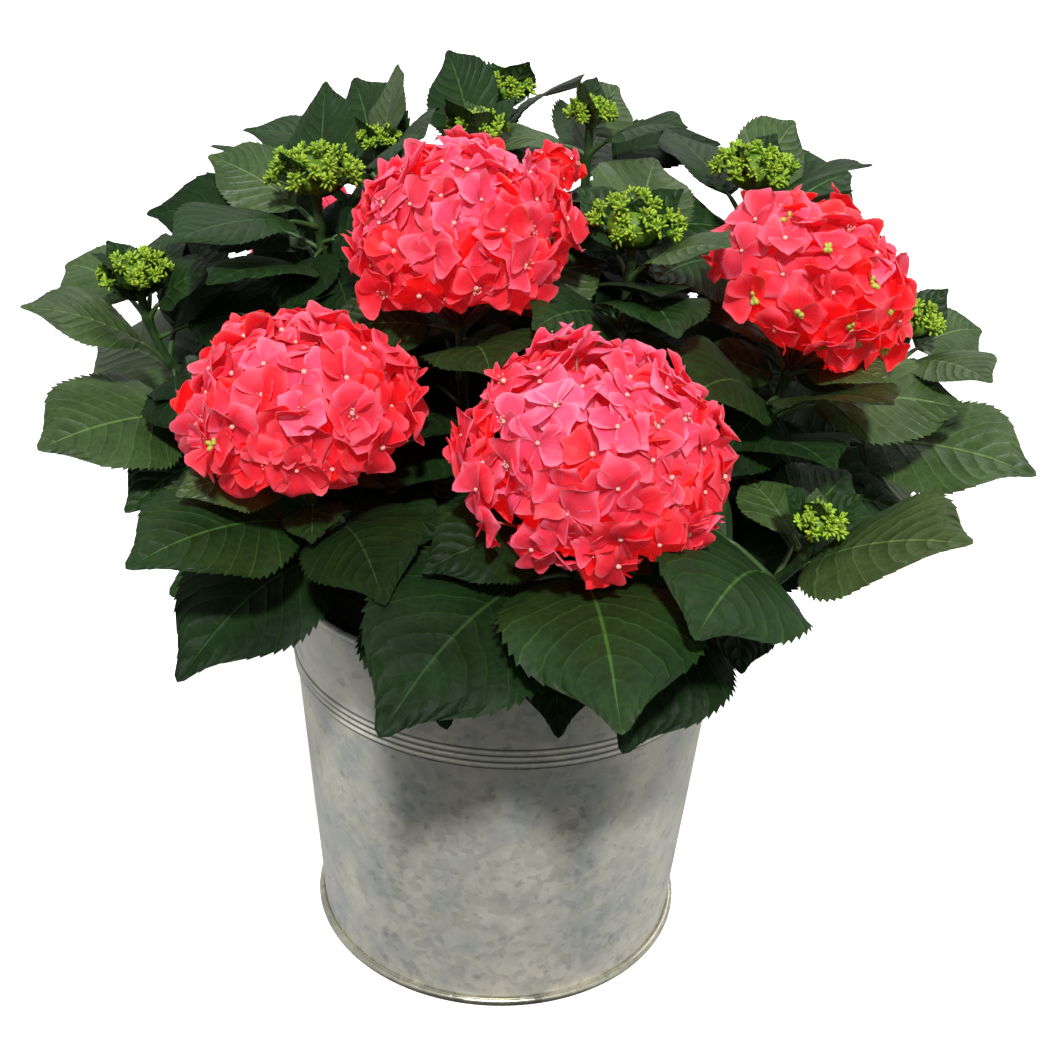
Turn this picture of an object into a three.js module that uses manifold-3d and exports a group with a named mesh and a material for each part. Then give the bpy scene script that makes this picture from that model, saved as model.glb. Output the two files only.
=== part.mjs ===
// Potted hydrangea shrub: a galvanised pot filled with potting soil, eighteen
// canes standing in it, and on each cane a mass of leaves that ends in a green
// bud cluster or carries a bloom.  Millimetres, +Z up, the origin at the middle
// of the pot's flat underside, the plant's face towards -Y.
import * as THREE from "three";
import Module from "manifold-3d";

const wasm = await Module();
wasm.setup();

// ---------------------------------------------------------------- named sizes
const GAP = 0.3; // between neighbours that would touch

const POT = {
  baseRadius: 115,
  height: 254,
  rimRadius: 140,
  bandZ: 190.8, // middle of the three ridges
  bandRadius: 130,
  ridgePitch: 3.5,
  ridgeHeight: 1.4,
  sheet: 1.5,
  hem: 2,
  floorThick: 2,
  lipRadius: 119.5, // rolled foot hoop
  lipHeight: 6,
  facets: 36,
};
const SOIL = { top: 232, plateau: 72, edgeDrop: 7 };
const CANE = { footRadius: 5.2, tipRadius: 3.6, sides: 5, steps: 4, tipDrop: 122 };
const STEM = { radius: 3.2, topRadius: 2.4, stub: 9 };
const NODE_DROP = [16, 42, 84, 115]; // leaf nodes, measured down from the head
const LEAF = {
  petiole: 0.2, // share of the whole length
  halfWidth: 0.36, // of the blade's length
  droop: 40, // degrees turned between foot and tip
  fold: 0.16, // how far the margins stand above the midrib
  thick: 0.014, // of the length, at the midrib
  lean: 0.7, // how much a blade's face turns to the crown's outside
};
// length, rise and spread of a leaf that has no row of its own, by node
const RULE = [
  { length: 84, rise: 24 },
  { length: 118, rise: 14 },
  { length: 132, rise: 0 },
  { length: 120, rise: -6 },
];

// Each shoot: azimuth, reach and height of its head's middle, the head's kind,
// its radius, how far it leans outwards and how high it is domed, and the leaves
// that have a row: [node, azimuth, rise, length, and for some their width].
const SHOOTS = [
  { name: "front", az: -79, reach: 198, z: 402, head: "bloom", r: 63, tilt: 29, tall: 0.76, dent: 62,
    rows: [[2, -82, -1, 138, 1.18], [2, -125, -8, 146, 1.08], [4, -85, -18, 100], [1, 41, -7, 95], [1, -150, -12, 84]] },
  { name: "front_right", az: -52, reach: 235, z: 370, head: "bud", r: 9,
    rows: [[2, -48, 30, 118, 1.15], [1, -100, 38, 48], [2, -115, 11, 122, 1.15],
      [2, 59, 16, 95], [3, -116, -13, 125], [3, -89, 1, 80], [4, 15, 24, 100]] },
  { name: "left", az: -121, reach: 193, z: 408, head: "bloom", r: 58, tilt: 15, tall: 0.7,
    rows: [[2, -131, 11, 122], [3, -129, -8, 130], [2, -69, 5, 105], [3, 172, -21, 122], [2, 159, 42, 108]] },
  { name: "left_low", az: -169, reach: 208, z: 429, head: "bud", r: 15,
    rows: [[2, -150, 28, 86], [1, 149, 12, 80], [1, 162, 62, 46], [1, 92, 41, 66], [1, -24, 39, 58],
      [2, 60, 72, 88], [3, -110, 29, 66], [3, -132, 4, 112, 1.2], [4, -127, -1, 96]] },
  { name: "right", az: -32, reach: 169, z: 452, head: "bloom", r: 51, tilt: 26,
    rows: [[2, -64, 30, 105], [3, -67, 22, 110], [2, -123, 22, 100], [1, 55, 43, 100]] },
  { name: "right_low", az: -7, reach: 216, z: 417, head: "bud", r: 13,
    rows: [[1, -64, 10, 76], [1, 37, 7, 72], [2, 41, -13, 70], [3, -36, 10, 128]] },
  { name: "crown", az: -107, reach: 99, z: 474, head: "bloom", r: 58, tilt: 20, tall: 0.7,
    rows: [[4, -135, 1, 112], [3, -108, 21, 100]] },
  { name: "centre", az: -55, reach: 98, z: 478, head: "bud", r: 19,
    rows: [[1, 80, 27, 98], [1, -54, 25, 80], [1, 112, 19, 78], [2, -77, 16, 95], [2, -112, 15, 90]] },
  { name: "upper_right", az: 0, reach: 123, z: 489, head: "bud", r: 18,
    rows: [[1, 61, 35, 76], [1, 125, 24, 84], [1, -35, 31, 82], [2, -43, 32, 92], [2, -120, 22, 100]] },
  { name: "upper_left", az: -162, reach: 114, z: 485, head: "bud", r: 19,
    rows: [[1, 154, 19, 76], [1, 92, 57, 78], [1, -130, 4, 98],
      [2, 138, 24, 85], [2, -120, 9, 95], [3, -113, 21, 100]] },
  { name: "inner", az: -27, reach: 18, z: 488, head: "bloom", r: 17, tilt: 10, rows: [] },
  { name: "mid_top", az: 159, reach: 28, z: 503, head: "bud", r: 12,
    rows: [[1, -92, 53, 46], [2, -109, 40, 88]] },
  { name: "top_right", az: 41, reach: 46, z: 510, head: "bud", r: 10,
    rows: [[1, 73, 24, 66], [1, -39, 24, 72], [1, -175, 6, 66]] },
  { name: "top", az: 101, reach: 77, z: 513, head: "bud", r: 13,
    rows: [[1, 106, 11, 84], [1, 56, 13, 84], [2, 116, 12, 100], [1, -128, 5, 60]] },
  { name: "top_left", az: 154, reach: 93, z: 488, head: "bud", r: 9,
    rows: [[1, 177, 19, 84], [2, 111, 47, 100], [1, 79, 36, 76]] },
  { name: "back_left", az: 131, reach: 188, z: 388, head: "bloom", r: 54, tilt: 26, rows: [] },
  { name: "back", az: 84, reach: 195, z: 372, head: "bloom", r: 55, tilt: 30, rows: [] },
  { name: "back_right", az: 38, reach: 205, z: 415, head: "bud", r: 16, rows: [] },
];
const COLOURS = {
  pot_base: "#83898c", pot_wall: "#92979a", potting_soil: "#1f1a15",
  cane: "#5f5340", foliage: "#3d6a36", bloom: "#e9586c",
};

// ------------------------------------------------------------------- helpers
const V = (x, y, z) => new THREE.Vector3(x, y, z);
const rad = THREE.MathUtils.degToRad;
function seeded(seed) {
  let a = seed >>> 0;
  return () => {
    a = (a + 0x6d2b79f5) >>> 0;
    let t = a;
    t = Math.imul(t ^ (t >>> 15), t | 1);
    t ^= t + Math.imul(t ^ (t >>> 7), t | 61);
    return ((t ^ (t >>> 14)) >>> 0) / 4294967296;
  };
}

// A closed body from points and triangles.
function solid(points, tris) {
  const made = new wasm.Manifold(
    new wasm.Mesh({
      numProp: 3,
      vertProperties: new Float32Array(points.flatMap((p) => [p.x, p.y, p.z])),
      triVerts: new Uint32Array(tris.flat()),
    }),
  );
  if (made.volume() <= 0) throw new Error("a body faces inwards");
  return made;
}

// Rings of equal count joined in a row and closed at both ends; a ring of one
// point is a tip.  Each ring turns anticlockwise as seen from the row's end.
function sweep(rings) {
  const points = [], starts = [], tris = [];
  for (const ring of rings) {
    starts.push(points.length);
    points.push(...ring);
  }
  for (let k = 0; k + 1 < rings.length; k++) {
    const a = starts[k], b = starts[k + 1];
    const n = rings[k].length, m = rings[k + 1].length;
    for (let i = 0; i < Math.max(n, m); i++) {
      const j = (i + 1) % Math.max(n, m);
      if (m === 1) tris.push([a + i, a + j, b]);
      else tris.push([a + i, a + j, b + j], [a + i, b + j, b + i]);
    }
  }
  const first = rings[0].length, last = rings.length - 1, z = starts[last];
  for (let i = 1; i + 1 < first; i++) tris.push([0, i + 1, i]);
  if (rings[last].length > 1)
    for (let i = 1; i + 1 < rings[last].length; i++) tris.push([z, z + i, z + i + 1]);
  return solid(points, tris);
}

// A profile of [radius, height] pairs turned about the Z axis.
function turned(profile, segments) {
  const g = new THREE.LatheGeometry(profile.map(([r, z]) => new THREE.Vector2(r, z)), segments);
  g.rotateX(Math.PI / 2);
  return fromGeometry(g);
}
function fromGeometry(g) {
  const pos = g.getAttribute("position"), index = g.index, seen = new Map(), points = [], map = [];
  for (let i = 0; i < pos.count; i++) {
    const p = V(pos.getX(i), pos.getY(i), pos.getZ(i));
    if (Math.hypot(p.x, p.y) < 1e-6) (p.x = 0), (p.y = 0);
    const key = [p.x, p.y, p.z].map((v) => Math.round(v * 1e4)).join();
    if (!seen.has(key)) {
      seen.set(key, points.length);
      points.push(p);
    }
    map.push(seen.get(key));
  }
  const tris = [];
  const n = index ? index.count : pos.count;
  for (let i = 0; i < n; i += 3) {
    const t = [0, 1, 2].map((k) => map[index ? index.getX(i + k) : i + k]);
    if (t[0] !== t[1] && t[1] !== t[2] && t[0] !== t[2]) tris.push(t);
  }
  return solid(points, tris);
}

// ------------------------------------------------------------------- the pot
function wallRadius(z) {
  const { baseRadius, bandRadius, rimRadius, bandZ, height } = POT;
  return z < bandZ
    ? baseRadius + ((bandRadius - baseRadius) * z) / bandZ
    : bandRadius + ((rimRadius - 1.5 - bandRadius) * (z - bandZ)) / (height - bandZ);
}
function potWall() {
  const { sheet, hem, height, bandZ, ridgePitch, ridgeHeight, floorThick, facets } = POT;
  const foot = floorThick + GAP;
  const outer = [[wallRadius(foot), foot]];
  for (let k = -1; k <= 1; k++) {
    const z = bandZ + k * ridgePitch * 1.25;
    outer.push([wallRadius(z - ridgePitch / 2), z - ridgePitch / 2]);
    outer.push([wallRadius(z) + ridgeHeight, z]);
    if (k === 1) outer.push([wallRadius(z + ridgePitch / 2), z + ridgePitch / 2]);
  }
  const r = wallRadius(height);
  outer.push([wallRadius(height - 6), height - 6], [r + hem * 0.7, height - 4], [r + hem, height - 1.8], [r + hem * 0.4, height]);
  const inner = [
    [r - hem, height - 0.6],
    [r - hem * 1.2, height - 3],
    [wallRadius(height - 6) - sheet, height - 6],
    [wallRadius(bandZ) - sheet, bandZ],
    [wallRadius(foot) - sheet, foot],
  ];
  const loop = [...outer, ...inner];
  return turned([...loop, loop[0]], facets);
}
function potBase() {
  const { lipRadius, lipHeight, floorThick, facets } = POT;
  const inside = wallRadius(floorThick) + GAP + 0.1;
  return turned(
    [
      [0, 0], [lipRadius - 1.5, 0], [lipRadius, 1.6], [lipRadius, lipHeight - 1.8],
      [lipRadius - 1.3, lipHeight], [inside + 0.9, lipHeight], [inside, lipHeight - 1.2], [inside, floorThick],
      [0, floorThick],
    ],
    facets,
  );
}
function pottingSoil() {
  const { sheet, floorThick, bandZ, facets } = POT;
  const shrink = sheet + GAP + 0.6;
  const foot = floorThick + GAP;
  const edge = SOIL.top - SOIL.edgeDrop;
  const profile = [
    [0, foot], [wallRadius(foot) - shrink, foot], [wallRadius(bandZ) - shrink, bandZ], [wallRadius(edge) - shrink, edge],
    [110, edge + 3], [90, SOIL.top - 3], [SOIL.plateau, SOIL.top], [0, SOIL.top],
  ];
  return turned(profile, facets);
}

// -------------------------------------------------------------- canes, stems
function plan(s) {
  const a = rad(s.az);
  const out = V(Math.cos(a), Math.sin(a), 0);
  const footRing = s.reach < 60 ? 13 : s.reach < 140 ? 30 : 50;
  const foot = out.clone().multiplyScalar(footRing).setZ(SOIL.top + GAP);
  const middle = out.clone().multiplyScalar(s.reach).setZ(s.z);
  const run = middle.clone().sub(foot);
  const low = foot.clone().add(V(0.12 * run.x, 0.12 * run.y, 0.3 * run.z));
  const high = foot.clone().add(V(0.92 * run.x, 0.92 * run.y, 0.45 * run.z));
  const axis = middle.clone().sub(high).normalize();
  const seat = middle.clone().addScaledVector(axis, -0.6 * s.r);
  const curve = new THREE.CubicBezierCurve3(foot, low, high, seat);
  curve.arcLengthDivisions = 400;
  const length = curve.getLength();
  const lean = rad(s.tilt ?? 0);
  const face = s.tilt === undefined ? axis : out.clone().multiplyScalar(Math.sin(lean)).setZ(Math.cos(lean));
  // blades turn their faces outwards, and in the front half also to the front
  const front = 1.3 * THREE.MathUtils.clamp((120 - middle.y) / 160, 0, 1);
  const toward = V(out.x, out.y - front, 0).normalize();
  return { ...s, out, toward, foot, middle, axis, face, seat, curve, length };
}
const at = (p, drop) => p.curve.getPointAt(Math.min(1, Math.max(0, 1 - drop / p.length)));
const along = (p, drop) => p.curve.getTangentAt(Math.min(1, Math.max(0, 1 - drop / p.length)));

function ringAbout(c, t, radius, sides, flat = false) {
  const n = flat ? V(0, 0, 1) : t;
  const e = V(0, 1, 0).cross(n).normalize();
  const f = n.clone().cross(e);
  const ring = [];
  for (let i = 0; i < sides; i++) {
    const q = (i / sides) * 2 * Math.PI;
    ring.push(c.clone().addScaledVector(e, radius * Math.cos(q)).addScaledVector(f, radius * Math.sin(q)));
  }
  return ring;
}
function limb(p, fromDrop, toDrop, r0, r1, steps, flatFoot) {
  const rings = [];
  for (let i = 0; i <= steps; i++) {
    const k = i / steps;
    const drop = fromDrop + (toDrop - fromDrop) * k;
    rings.push(ringAbout(at(p, drop), along(p, drop), r0 + (r1 - r0) * k ** 0.8, CANE.sides, flatFoot && i === 0));
  }
  return sweep(rings);
}

// -------------------------------------------------------------------- leaves
// One leaf with its petiole: a row of four-cornered rings from inside the stem
// to the tip, bending down by LEAF.droop about the given mean rise.
const BLADE = [[0.13, 0.68], [0.42, 1], [0.77, 0.6]];
function leaf(foot, az, rise, length, toward, wide, grow = 0, from = 0) {
  const a = rad(az);
  const h = V(Math.cos(a), Math.sin(a), 0);
  const blade = length * (1 - LEAF.petiole);
  const thick = Math.max(1.3, LEAF.thick * length) / 2 + grow;
  const stations = [[0, -1], [LEAF.petiole * 0.9, -1]];
  for (const [u, w] of BLADE) stations.push([LEAF.petiole + u * (1 - LEAF.petiole), w]);
  const steps = 24;
  const where = [foot.clone().addScaledVector(h, 0.9)], heading = [];
  for (let i = 0; i < steps; i++) {
    const q = rad(rise + LEAF.droop * (0.5 - (i + 0.5) / steps));
    const d = h.clone().multiplyScalar(Math.cos(q)).setZ(Math.sin(q));
    heading.push(d);
    where.push(where[i].clone().addScaledVector(d, length / steps));
  }
  const pick = (s) => {
    const f = s * steps, i = Math.min(steps - 1, Math.floor(f));
    return [where[i].clone().addScaledVector(heading[i], (f - i) * (length / steps)), heading[i]];
  };
  const level = V(-Math.sin(a), Math.cos(a), 0);
  const roll = -Math.atan2(LEAF.lean * toward.dot(level), Math.max(0.6, Math.cos(rad(rise))));
  const rings = stations.slice(from).map(([s, w]) => {
    const [c, d] = pick(s);
    const n0 = d.clone().cross(level);
    const side = level.clone().multiplyScalar(Math.cos(roll)).addScaledVector(n0, Math.sin(roll));
    const n = d.clone().cross(side);
    const half = (w < 0 ? 1.5 : w * LEAF.halfWidth * wide * blade) + grow;
    const up = w < 0 ? 1.5 + grow : thick * (0.45 + 0.55 * w);
    const lift = w < 0 ? 0 : LEAF.fold * half;
    return [
      c.clone().addScaledVector(side, half).addScaledVector(n, lift),
      c.clone().addScaledVector(n, up),
      c.clone().addScaledVector(side, -half).addScaledVector(n, lift),
      c.clone().addScaledVector(n, -up),
    ];
  });
  rings.push([pick(1)[0]]);
  return sweep(rings);
}

// --------------------------------------------------------------- heads
// A direction about the head's own axis, as a point on its rounded outline.
function headFrame(p) {
  const w = p.face, u = V(0, 0, 1).cross(w).lengthSq() > 1e-6 ? V(0, 0, 1).cross(w).normalize() : V(1, 0, 0);
  return [u, w.clone().cross(u).normalize(), w];
}
function onHead(p, polar, turn, scale = 1) {
  const [u, v, w] = headFrame(p);
  let r = p.r * scale;
  if (p.dent) {
    const off = Math.abs(((turn - p.dent + 540) % 360) - 180) / 24;
    r *= 1 - 0.2 * Math.exp(-off * off) * Math.sin(rad(Math.min(90, polar)));
  }
  const tall = (polar <= 90 ? p.tall ?? 0.8 : 0.5) * r;
  return p.middle.clone()
    .addScaledVector(u, r * Math.sin(rad(polar)) * Math.cos(rad(turn)))
    .addScaledVector(v, r * Math.sin(rad(polar)) * Math.sin(rad(turn)))
    .addScaledVector(w, tall * Math.cos(rad(polar)));
}
function core(p, scale, bands, around, knob = () => 1) {
  const points = [onHead(p, 0, 0, scale)], tris = [];
  for (let b = 1; b < bands; b++)
    for (let i = 0; i < around; i++) points.push(onHead(p, (180 * b) / bands, (360 * i) / around, scale * knob()));
  points.push(onHead(p, 180, 0, scale));
  const id = (b, i) => 1 + (b - 1) * around + (i % around), end = points.length - 1;
  for (let i = 0; i < around; i++) {
    tris.push([0, id(1, i), id(1, i + 1)], [end, id(bands - 1, i + 1), id(bands - 1, i)]);
    for (let b = 1; b < bands - 1; b++)
      tris.push([id(b, i), id(b + 1, i), id(b + 1, i + 1)], [id(b, i), id(b + 1, i + 1), id(b, i + 1)]);
  }
  return solid(points, tris);
}
function floret(centre, normal, radius, spin, depth) {
  const e = V(0, 0, 1).cross(normal).lengthSq() > 1e-4 ? V(0, 0, 1).cross(normal).normalize() : V(1, 0, 0);
  const f = normal.clone().cross(e);
  const rim = [], points = [], tris = [];
  for (let i = 0; i < 8; i++) {
    const q = spin + (i / 8) * 2 * Math.PI;
    const r = radius * (i % 2 ? 0.62 : 1);
    points.push(centre.clone().addScaledVector(e, r * Math.cos(q)).addScaledVector(f, r * Math.sin(q)).addScaledVector(normal, i % 2 ? -1 : 0.8));
    rim.push(i);
  }
  points.push(centre.clone().addScaledVector(normal, -0.5), centre.clone().addScaledVector(normal, -depth));
  for (const i of rim) {
    const j = (i + 1) % 8;
    tris.push([i, j, 8], [j, i, 9]);
  }
  return solid(points, tris);
}
function bloom(p, rand) {
  const parts = [core(p, 0.9, 5, 8), limbToward(p.middle, at(p, STEM.stub), STEM.topRadius)];
  const florets = Math.round(13 * Math.max(0.6, p.r / 52)), size = p.r < 30 ? 0.62 : 1;
  for (let i = 0; i < florets; i++) {
    const c = 1 - (i + 0.5) * (1.24 / florets);
    const polar = THREE.MathUtils.radToDeg(Math.acos(c)), turn = (i * 137.508 + 20 * rand()) % 360;
    const centre = onHead(p, polar, turn, 0.955), inner = onHead(p, polar, turn, 0.6);
    const normal = centre.clone().sub(inner).normalize();
    if (centre.distanceTo(at(p, STEM.stub)) < 27 * size) continue; // room for the stem
    parts.push(floret(centre, normal, (16 + 2.5 * rand()) * size, rand() * 6.28, 9 * size));
  }
  return biggest(fuse(parts));
}
function limbToward(from, to, radius) {
  const t = to.clone().sub(from).normalize();
  const ring = (c) => ringAbout(c, t, radius, 6);
  return sweep([ring(from), ring(to)]);
}
function bud(p, rand) {
  return [core(p, 1, p.r > 14 ? 5 : 4, p.r > 14 ? 9 : 7, () => 0.8 + 0.28 * rand())];
}

// ------------------------------------------------------------------ assembly
const fuse = (parts) => parts.reduce((sum, part) => sum.add(part));
const biggest = (m) => m.decompose().sort((a, b) => b.volume() - a.volume())[0];
const box = (m) => {
  const b = m.boundingBox();
  return new THREE.Box3(V(...b.min), V(...b.max));
};

const placed = []; // { node, solid, box }
const blades = []; // the same, of the leaves' blades alone
function place(node, made, list = placed) {
  list.push({ node, solid: made, box: box(made) });
}
function clear(made, room, list, unless) {
  const mine = box(made).expandByScalar(room);
  return !list.some(
    (other) => !unless(other) && other.box.intersectsBox(mine) && made.minGap(other.solid, room * 1.5) < room,
  );
}

const nodes = [];
const single = (name, kind, made) => {
  place(name, made);
  nodes.push([name, kind, made]);
};
single("pot_base", "pot_base", potBase());
single("pot_wall", "pot_wall", potWall());
single("potting_soil", "potting_soil", pottingSoil());

const plans = SHOOTS.map(plan);
for (const p of plans)
  single("cane_" + p.name, "cane", limb(p, p.length, CANE.tipDrop, CANE.footRadius, CANE.tipRadius, CANE.steps, true));
plans.forEach((p, i) => {
  if (p.head === "bloom") single("bloom_" + p.name, "bloom", bloom(p, seeded(100 + i)));
});

// The stem of each mass, then the leaves with a row, then the leaves by rule:
// a leaf that would touch another node is turned, shortened, or left out.
const masses = plans.map((p, i) => {
  const node = "foliage_" + p.name;
  const top = p.head === "bloom" ? STEM.stub + 2 * GAP : 0;
  const parts = [];
  const stem = limb(p, CANE.tipDrop - GAP, top, STEM.radius, STEM.topRadius, 3, false);
  parts.push(stem);
  if (p.head === "bud") {
    parts.push(limbToward(at(p, 0.01).addScaledVector(p.axis, -2), p.middle, STEM.topRadius), ...bud(p, seeded(300 + i)));
  }
  for (const part of parts) place(node, part);
  return { node, p, parts, rand: seeded(500 + i) };
});
const TRIES = [[0, 0, 1], [0, 8, 1], [0, -8, 1], [10, 0, 1], [-10, 0, 1], [0, -16, 1], [0, 16, 1], [14, -10, 1], [-14, -10, 1],
  [0, -24, 1], [20, 0, 0.92], [-20, 0, 0.92], [0, 24, 0.92], [0, -34, 0.9], [0, 0, 0.8], [12, 12, 0.8], [-12, 12, 0.8], [0, -20, 0.75], [24, -10, 0.75], [-24, -10, 0.75], [0, 0, 0.62]];
let skipped = 0;
const grown = [];
function grow(mass, n, az, rise, length, wide = 1) {
  const { node, p, parts } = mass;
  const foot = at(p, NODE_DROP[n - 1]);
  for (const [turn, lift, size] of TRIES) {
    const shape = [foot, az + turn, rise + lift, length * size, p.toward, wide];
    if (!clear(leaf(...shape, 0.2), 0.35, placed, (other) => other.node === node)) continue;
    const blade = leaf(...shape, 0, 1);
    if (!clear(blade, 0.4, blades, (other) => other.node !== node)) continue;
    const made = leaf(...shape);
    parts.push(made);
    place(node, made);
    place(node, blade, blades);
    grown.push([p.name, n, Math.round(az + turn), Math.round(rise + lift), Math.round(length * size), turn, lift, size]);
    return;
  }
  skipped++;
  grown.push([p.name, n, Math.round(az), Math.round(rise), Math.round(length), "SKIPPED"]);
}
for (const mass of masses) for (const row of mass.p.rows) grow(mass, ...row);
for (const mass of masses) {
  const { p, rand } = mass;
  for (let n = 1; n <= (p.reach < 130 ? 3 : 4); n++) {
    const pair = p.az + 45 + 90 * n + 24 * (rand() - 0.5);
    for (const az of [pair, pair + 180]) {
      const length = RULE[n - 1].length * (0.88 + 0.24 * rand());
      const rise = RULE[n - 1].rise + 12 * (rand() - 0.5);
      const taken = p.rows.some((row) => row[0] === n && Math.abs(((az - row[1] + 900) % 360) - 180) < 50);
      if (!taken) grow(mass, n, az, rise, length);
    }
  }
}
for (const mass of masses) nodes.push([mass.node, "foliage", biggest(fuse(mass.parts))]);

// ----------------------------------------------------------------- the group
const root = new THREE.Group();
root.name = "potted_hydrangea";
for (const [name, kind, made] of nodes) {
  const m = made.getMesh();
  const g = new THREE.BufferGeometry();
  const position = new Float32Array(m.numVert * 3);
  for (let i = 0; i < m.numVert; i++)
    for (let k = 0; k < 3; k++) position[3 * i + k] = m.vertProperties[i * m.numProp + k];
  g.setAttribute("position", new THREE.BufferAttribute(position, 3));
  g.setIndex(new THREE.BufferAttribute(new Uint32Array(m.triVerts), 1));
  g.computeVertexNormals();
  const mesh = new THREE.Mesh(g, new THREE.MeshStandardMaterial({ color: COLOURS[kind], roughness: 0.6 }));
  mesh.name = name;
  root.add(mesh);
}
root.userData = { skipped, grown };
export default root;
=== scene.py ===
"""Hydrangea shrub in a galvanised pot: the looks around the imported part.

Everything is in metres in the part's own frame: +Z up, the origin at the middle
of the pot's underside, the plant's face towards -Y.  The shoots grow by the
same rule as the solids do, worked out in millimetres and carried on to small
leaves, florets and flower buds.
"""
import math

import bpy
import numpy as np
from mathutils import Matrix, Vector
from mathutils.bvhtree import BVHTree
from mathutils.kdtree import KDTree


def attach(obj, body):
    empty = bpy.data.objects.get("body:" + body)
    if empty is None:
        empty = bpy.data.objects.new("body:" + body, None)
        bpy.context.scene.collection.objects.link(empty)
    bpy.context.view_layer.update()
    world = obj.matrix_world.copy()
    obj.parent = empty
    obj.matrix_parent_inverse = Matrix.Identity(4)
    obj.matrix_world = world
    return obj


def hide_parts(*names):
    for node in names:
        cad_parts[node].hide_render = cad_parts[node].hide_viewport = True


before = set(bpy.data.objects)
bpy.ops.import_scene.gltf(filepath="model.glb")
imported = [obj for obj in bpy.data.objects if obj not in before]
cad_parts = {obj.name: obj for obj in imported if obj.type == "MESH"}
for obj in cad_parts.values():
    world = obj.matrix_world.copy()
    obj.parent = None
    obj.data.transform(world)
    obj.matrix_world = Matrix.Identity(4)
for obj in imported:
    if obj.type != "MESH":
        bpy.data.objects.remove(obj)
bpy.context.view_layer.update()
bpy.ops.object.select_all(action="DESELECT")
scene = bpy.context.scene
MM = 0.001
UP = np.array([0.0, 0.0, 1.0])

# ------------------------------------------------------------ camera and light
PITCH, ROLL = math.radians(26.14), math.radians(2.56)  # how far it looks down, and leans over
CAMERA_PLACE = (0.00874, -0.813165, 0.670105)
LENS, SENSOR = 51.43, 36
# each sun's name and strength, and in degrees how soft it is and how it is turned
SUNS = [("key_light", 3.4, 5, (41, 0, 3)), ("back_light", 0.6, 40, (-40, 0, -20))]
FLOOR_GLOW = 0.6


def set_camera():
    ahead = Vector((0, math.cos(PITCH), -math.sin(PITCH)))
    above = Vector((0, math.sin(PITCH), math.cos(PITCH)))
    right = Vector((1, 0, 0))
    across = right * math.cos(ROLL) + above * math.sin(ROLL)
    upward = above * math.cos(ROLL) - right * math.sin(ROLL)
    turn = Matrix((across, upward, -ahead)).transposed().to_4x4()
    bpy.ops.object.camera_add()
    camera = bpy.context.object
    camera.name = "camera"
    camera.matrix_world = Matrix.Translation(CAMERA_PLACE) @ turn
    camera.data.lens, camera.data.sensor_width = LENS, SENSOR
    camera.data.clip_end = 60
    scene.camera = camera


def studio_sky():
    """White walls at the sides and behind, a white tent overhead, and dark towards the front."""
    world = bpy.data.worlds.new("studio")
    scene.world = world
    world.use_nodes = True
    tree = world.node_tree

    def node(kind, *inputs, **props):
        n = tree.nodes.new("ShaderNode" + kind)
        for key, value in props.items():
            setattr(n, key, value)
        for value, socket in zip(inputs, n.inputs):
            if isinstance(value, bpy.types.NodeSocket):
                tree.links.new(value, socket)
            else:
                socket.default_value = value
        return n.outputs

    x, y, z = node("SeparateXYZ", node("TexCoord")["Generated"])
    folded = node("CombineXYZ", node("Math", x, operation="ABSOLUTE")[0], y, z)[0]
    lit = node("VectorMath", folded, (0.9, 1.0, 1.1), operation="DOT_PRODUCT")["Value"]
    sky = tree.nodes["Background"]
    sky.inputs["Color"].default_value = (1, 1, 1, 1)
    tree.links.new(node("MapRange", lit, -0.5, 0.2, 0.05, 0.62)[0], sky.inputs["Strength"])


def set_light():
    studio_sky()
    for name, energy, soft, turn in SUNS:
        bpy.ops.object.light_add(type="SUN", rotation=[math.radians(a) for a in turn])
        light = bpy.context.object
        light.name = name
        light.data.energy = energy
        light.data.angle = math.radians(soft)
    bpy.ops.mesh.primitive_plane_add(size=30)
    floor = bpy.context.object
    floor.name = "floor"
    floor.data.materials.append(finish("floor_white", "#f4f4f2", 0.9, Emission_Color=(1, 1, 1, 1),
                                       Emission_Strength=FLOOR_GLOW))
    floor.visible_diffuse = floor.visible_glossy = False
    scene.view_settings.view_transform = "Standard"


# ------------------------------------------------------------------ finishes
def tone(text, alpha=1.0):
    """A colour written as #rrggbb, as the linear values that a shader takes."""
    parts = [int(text[i:i + 2], 16) / 255 for i in (1, 3, 5)]
    return [c / 12.92 if c <= 0.04045 else ((c + 0.055) / 1.055) ** 2.4 for c in parts] + [alpha]


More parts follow.
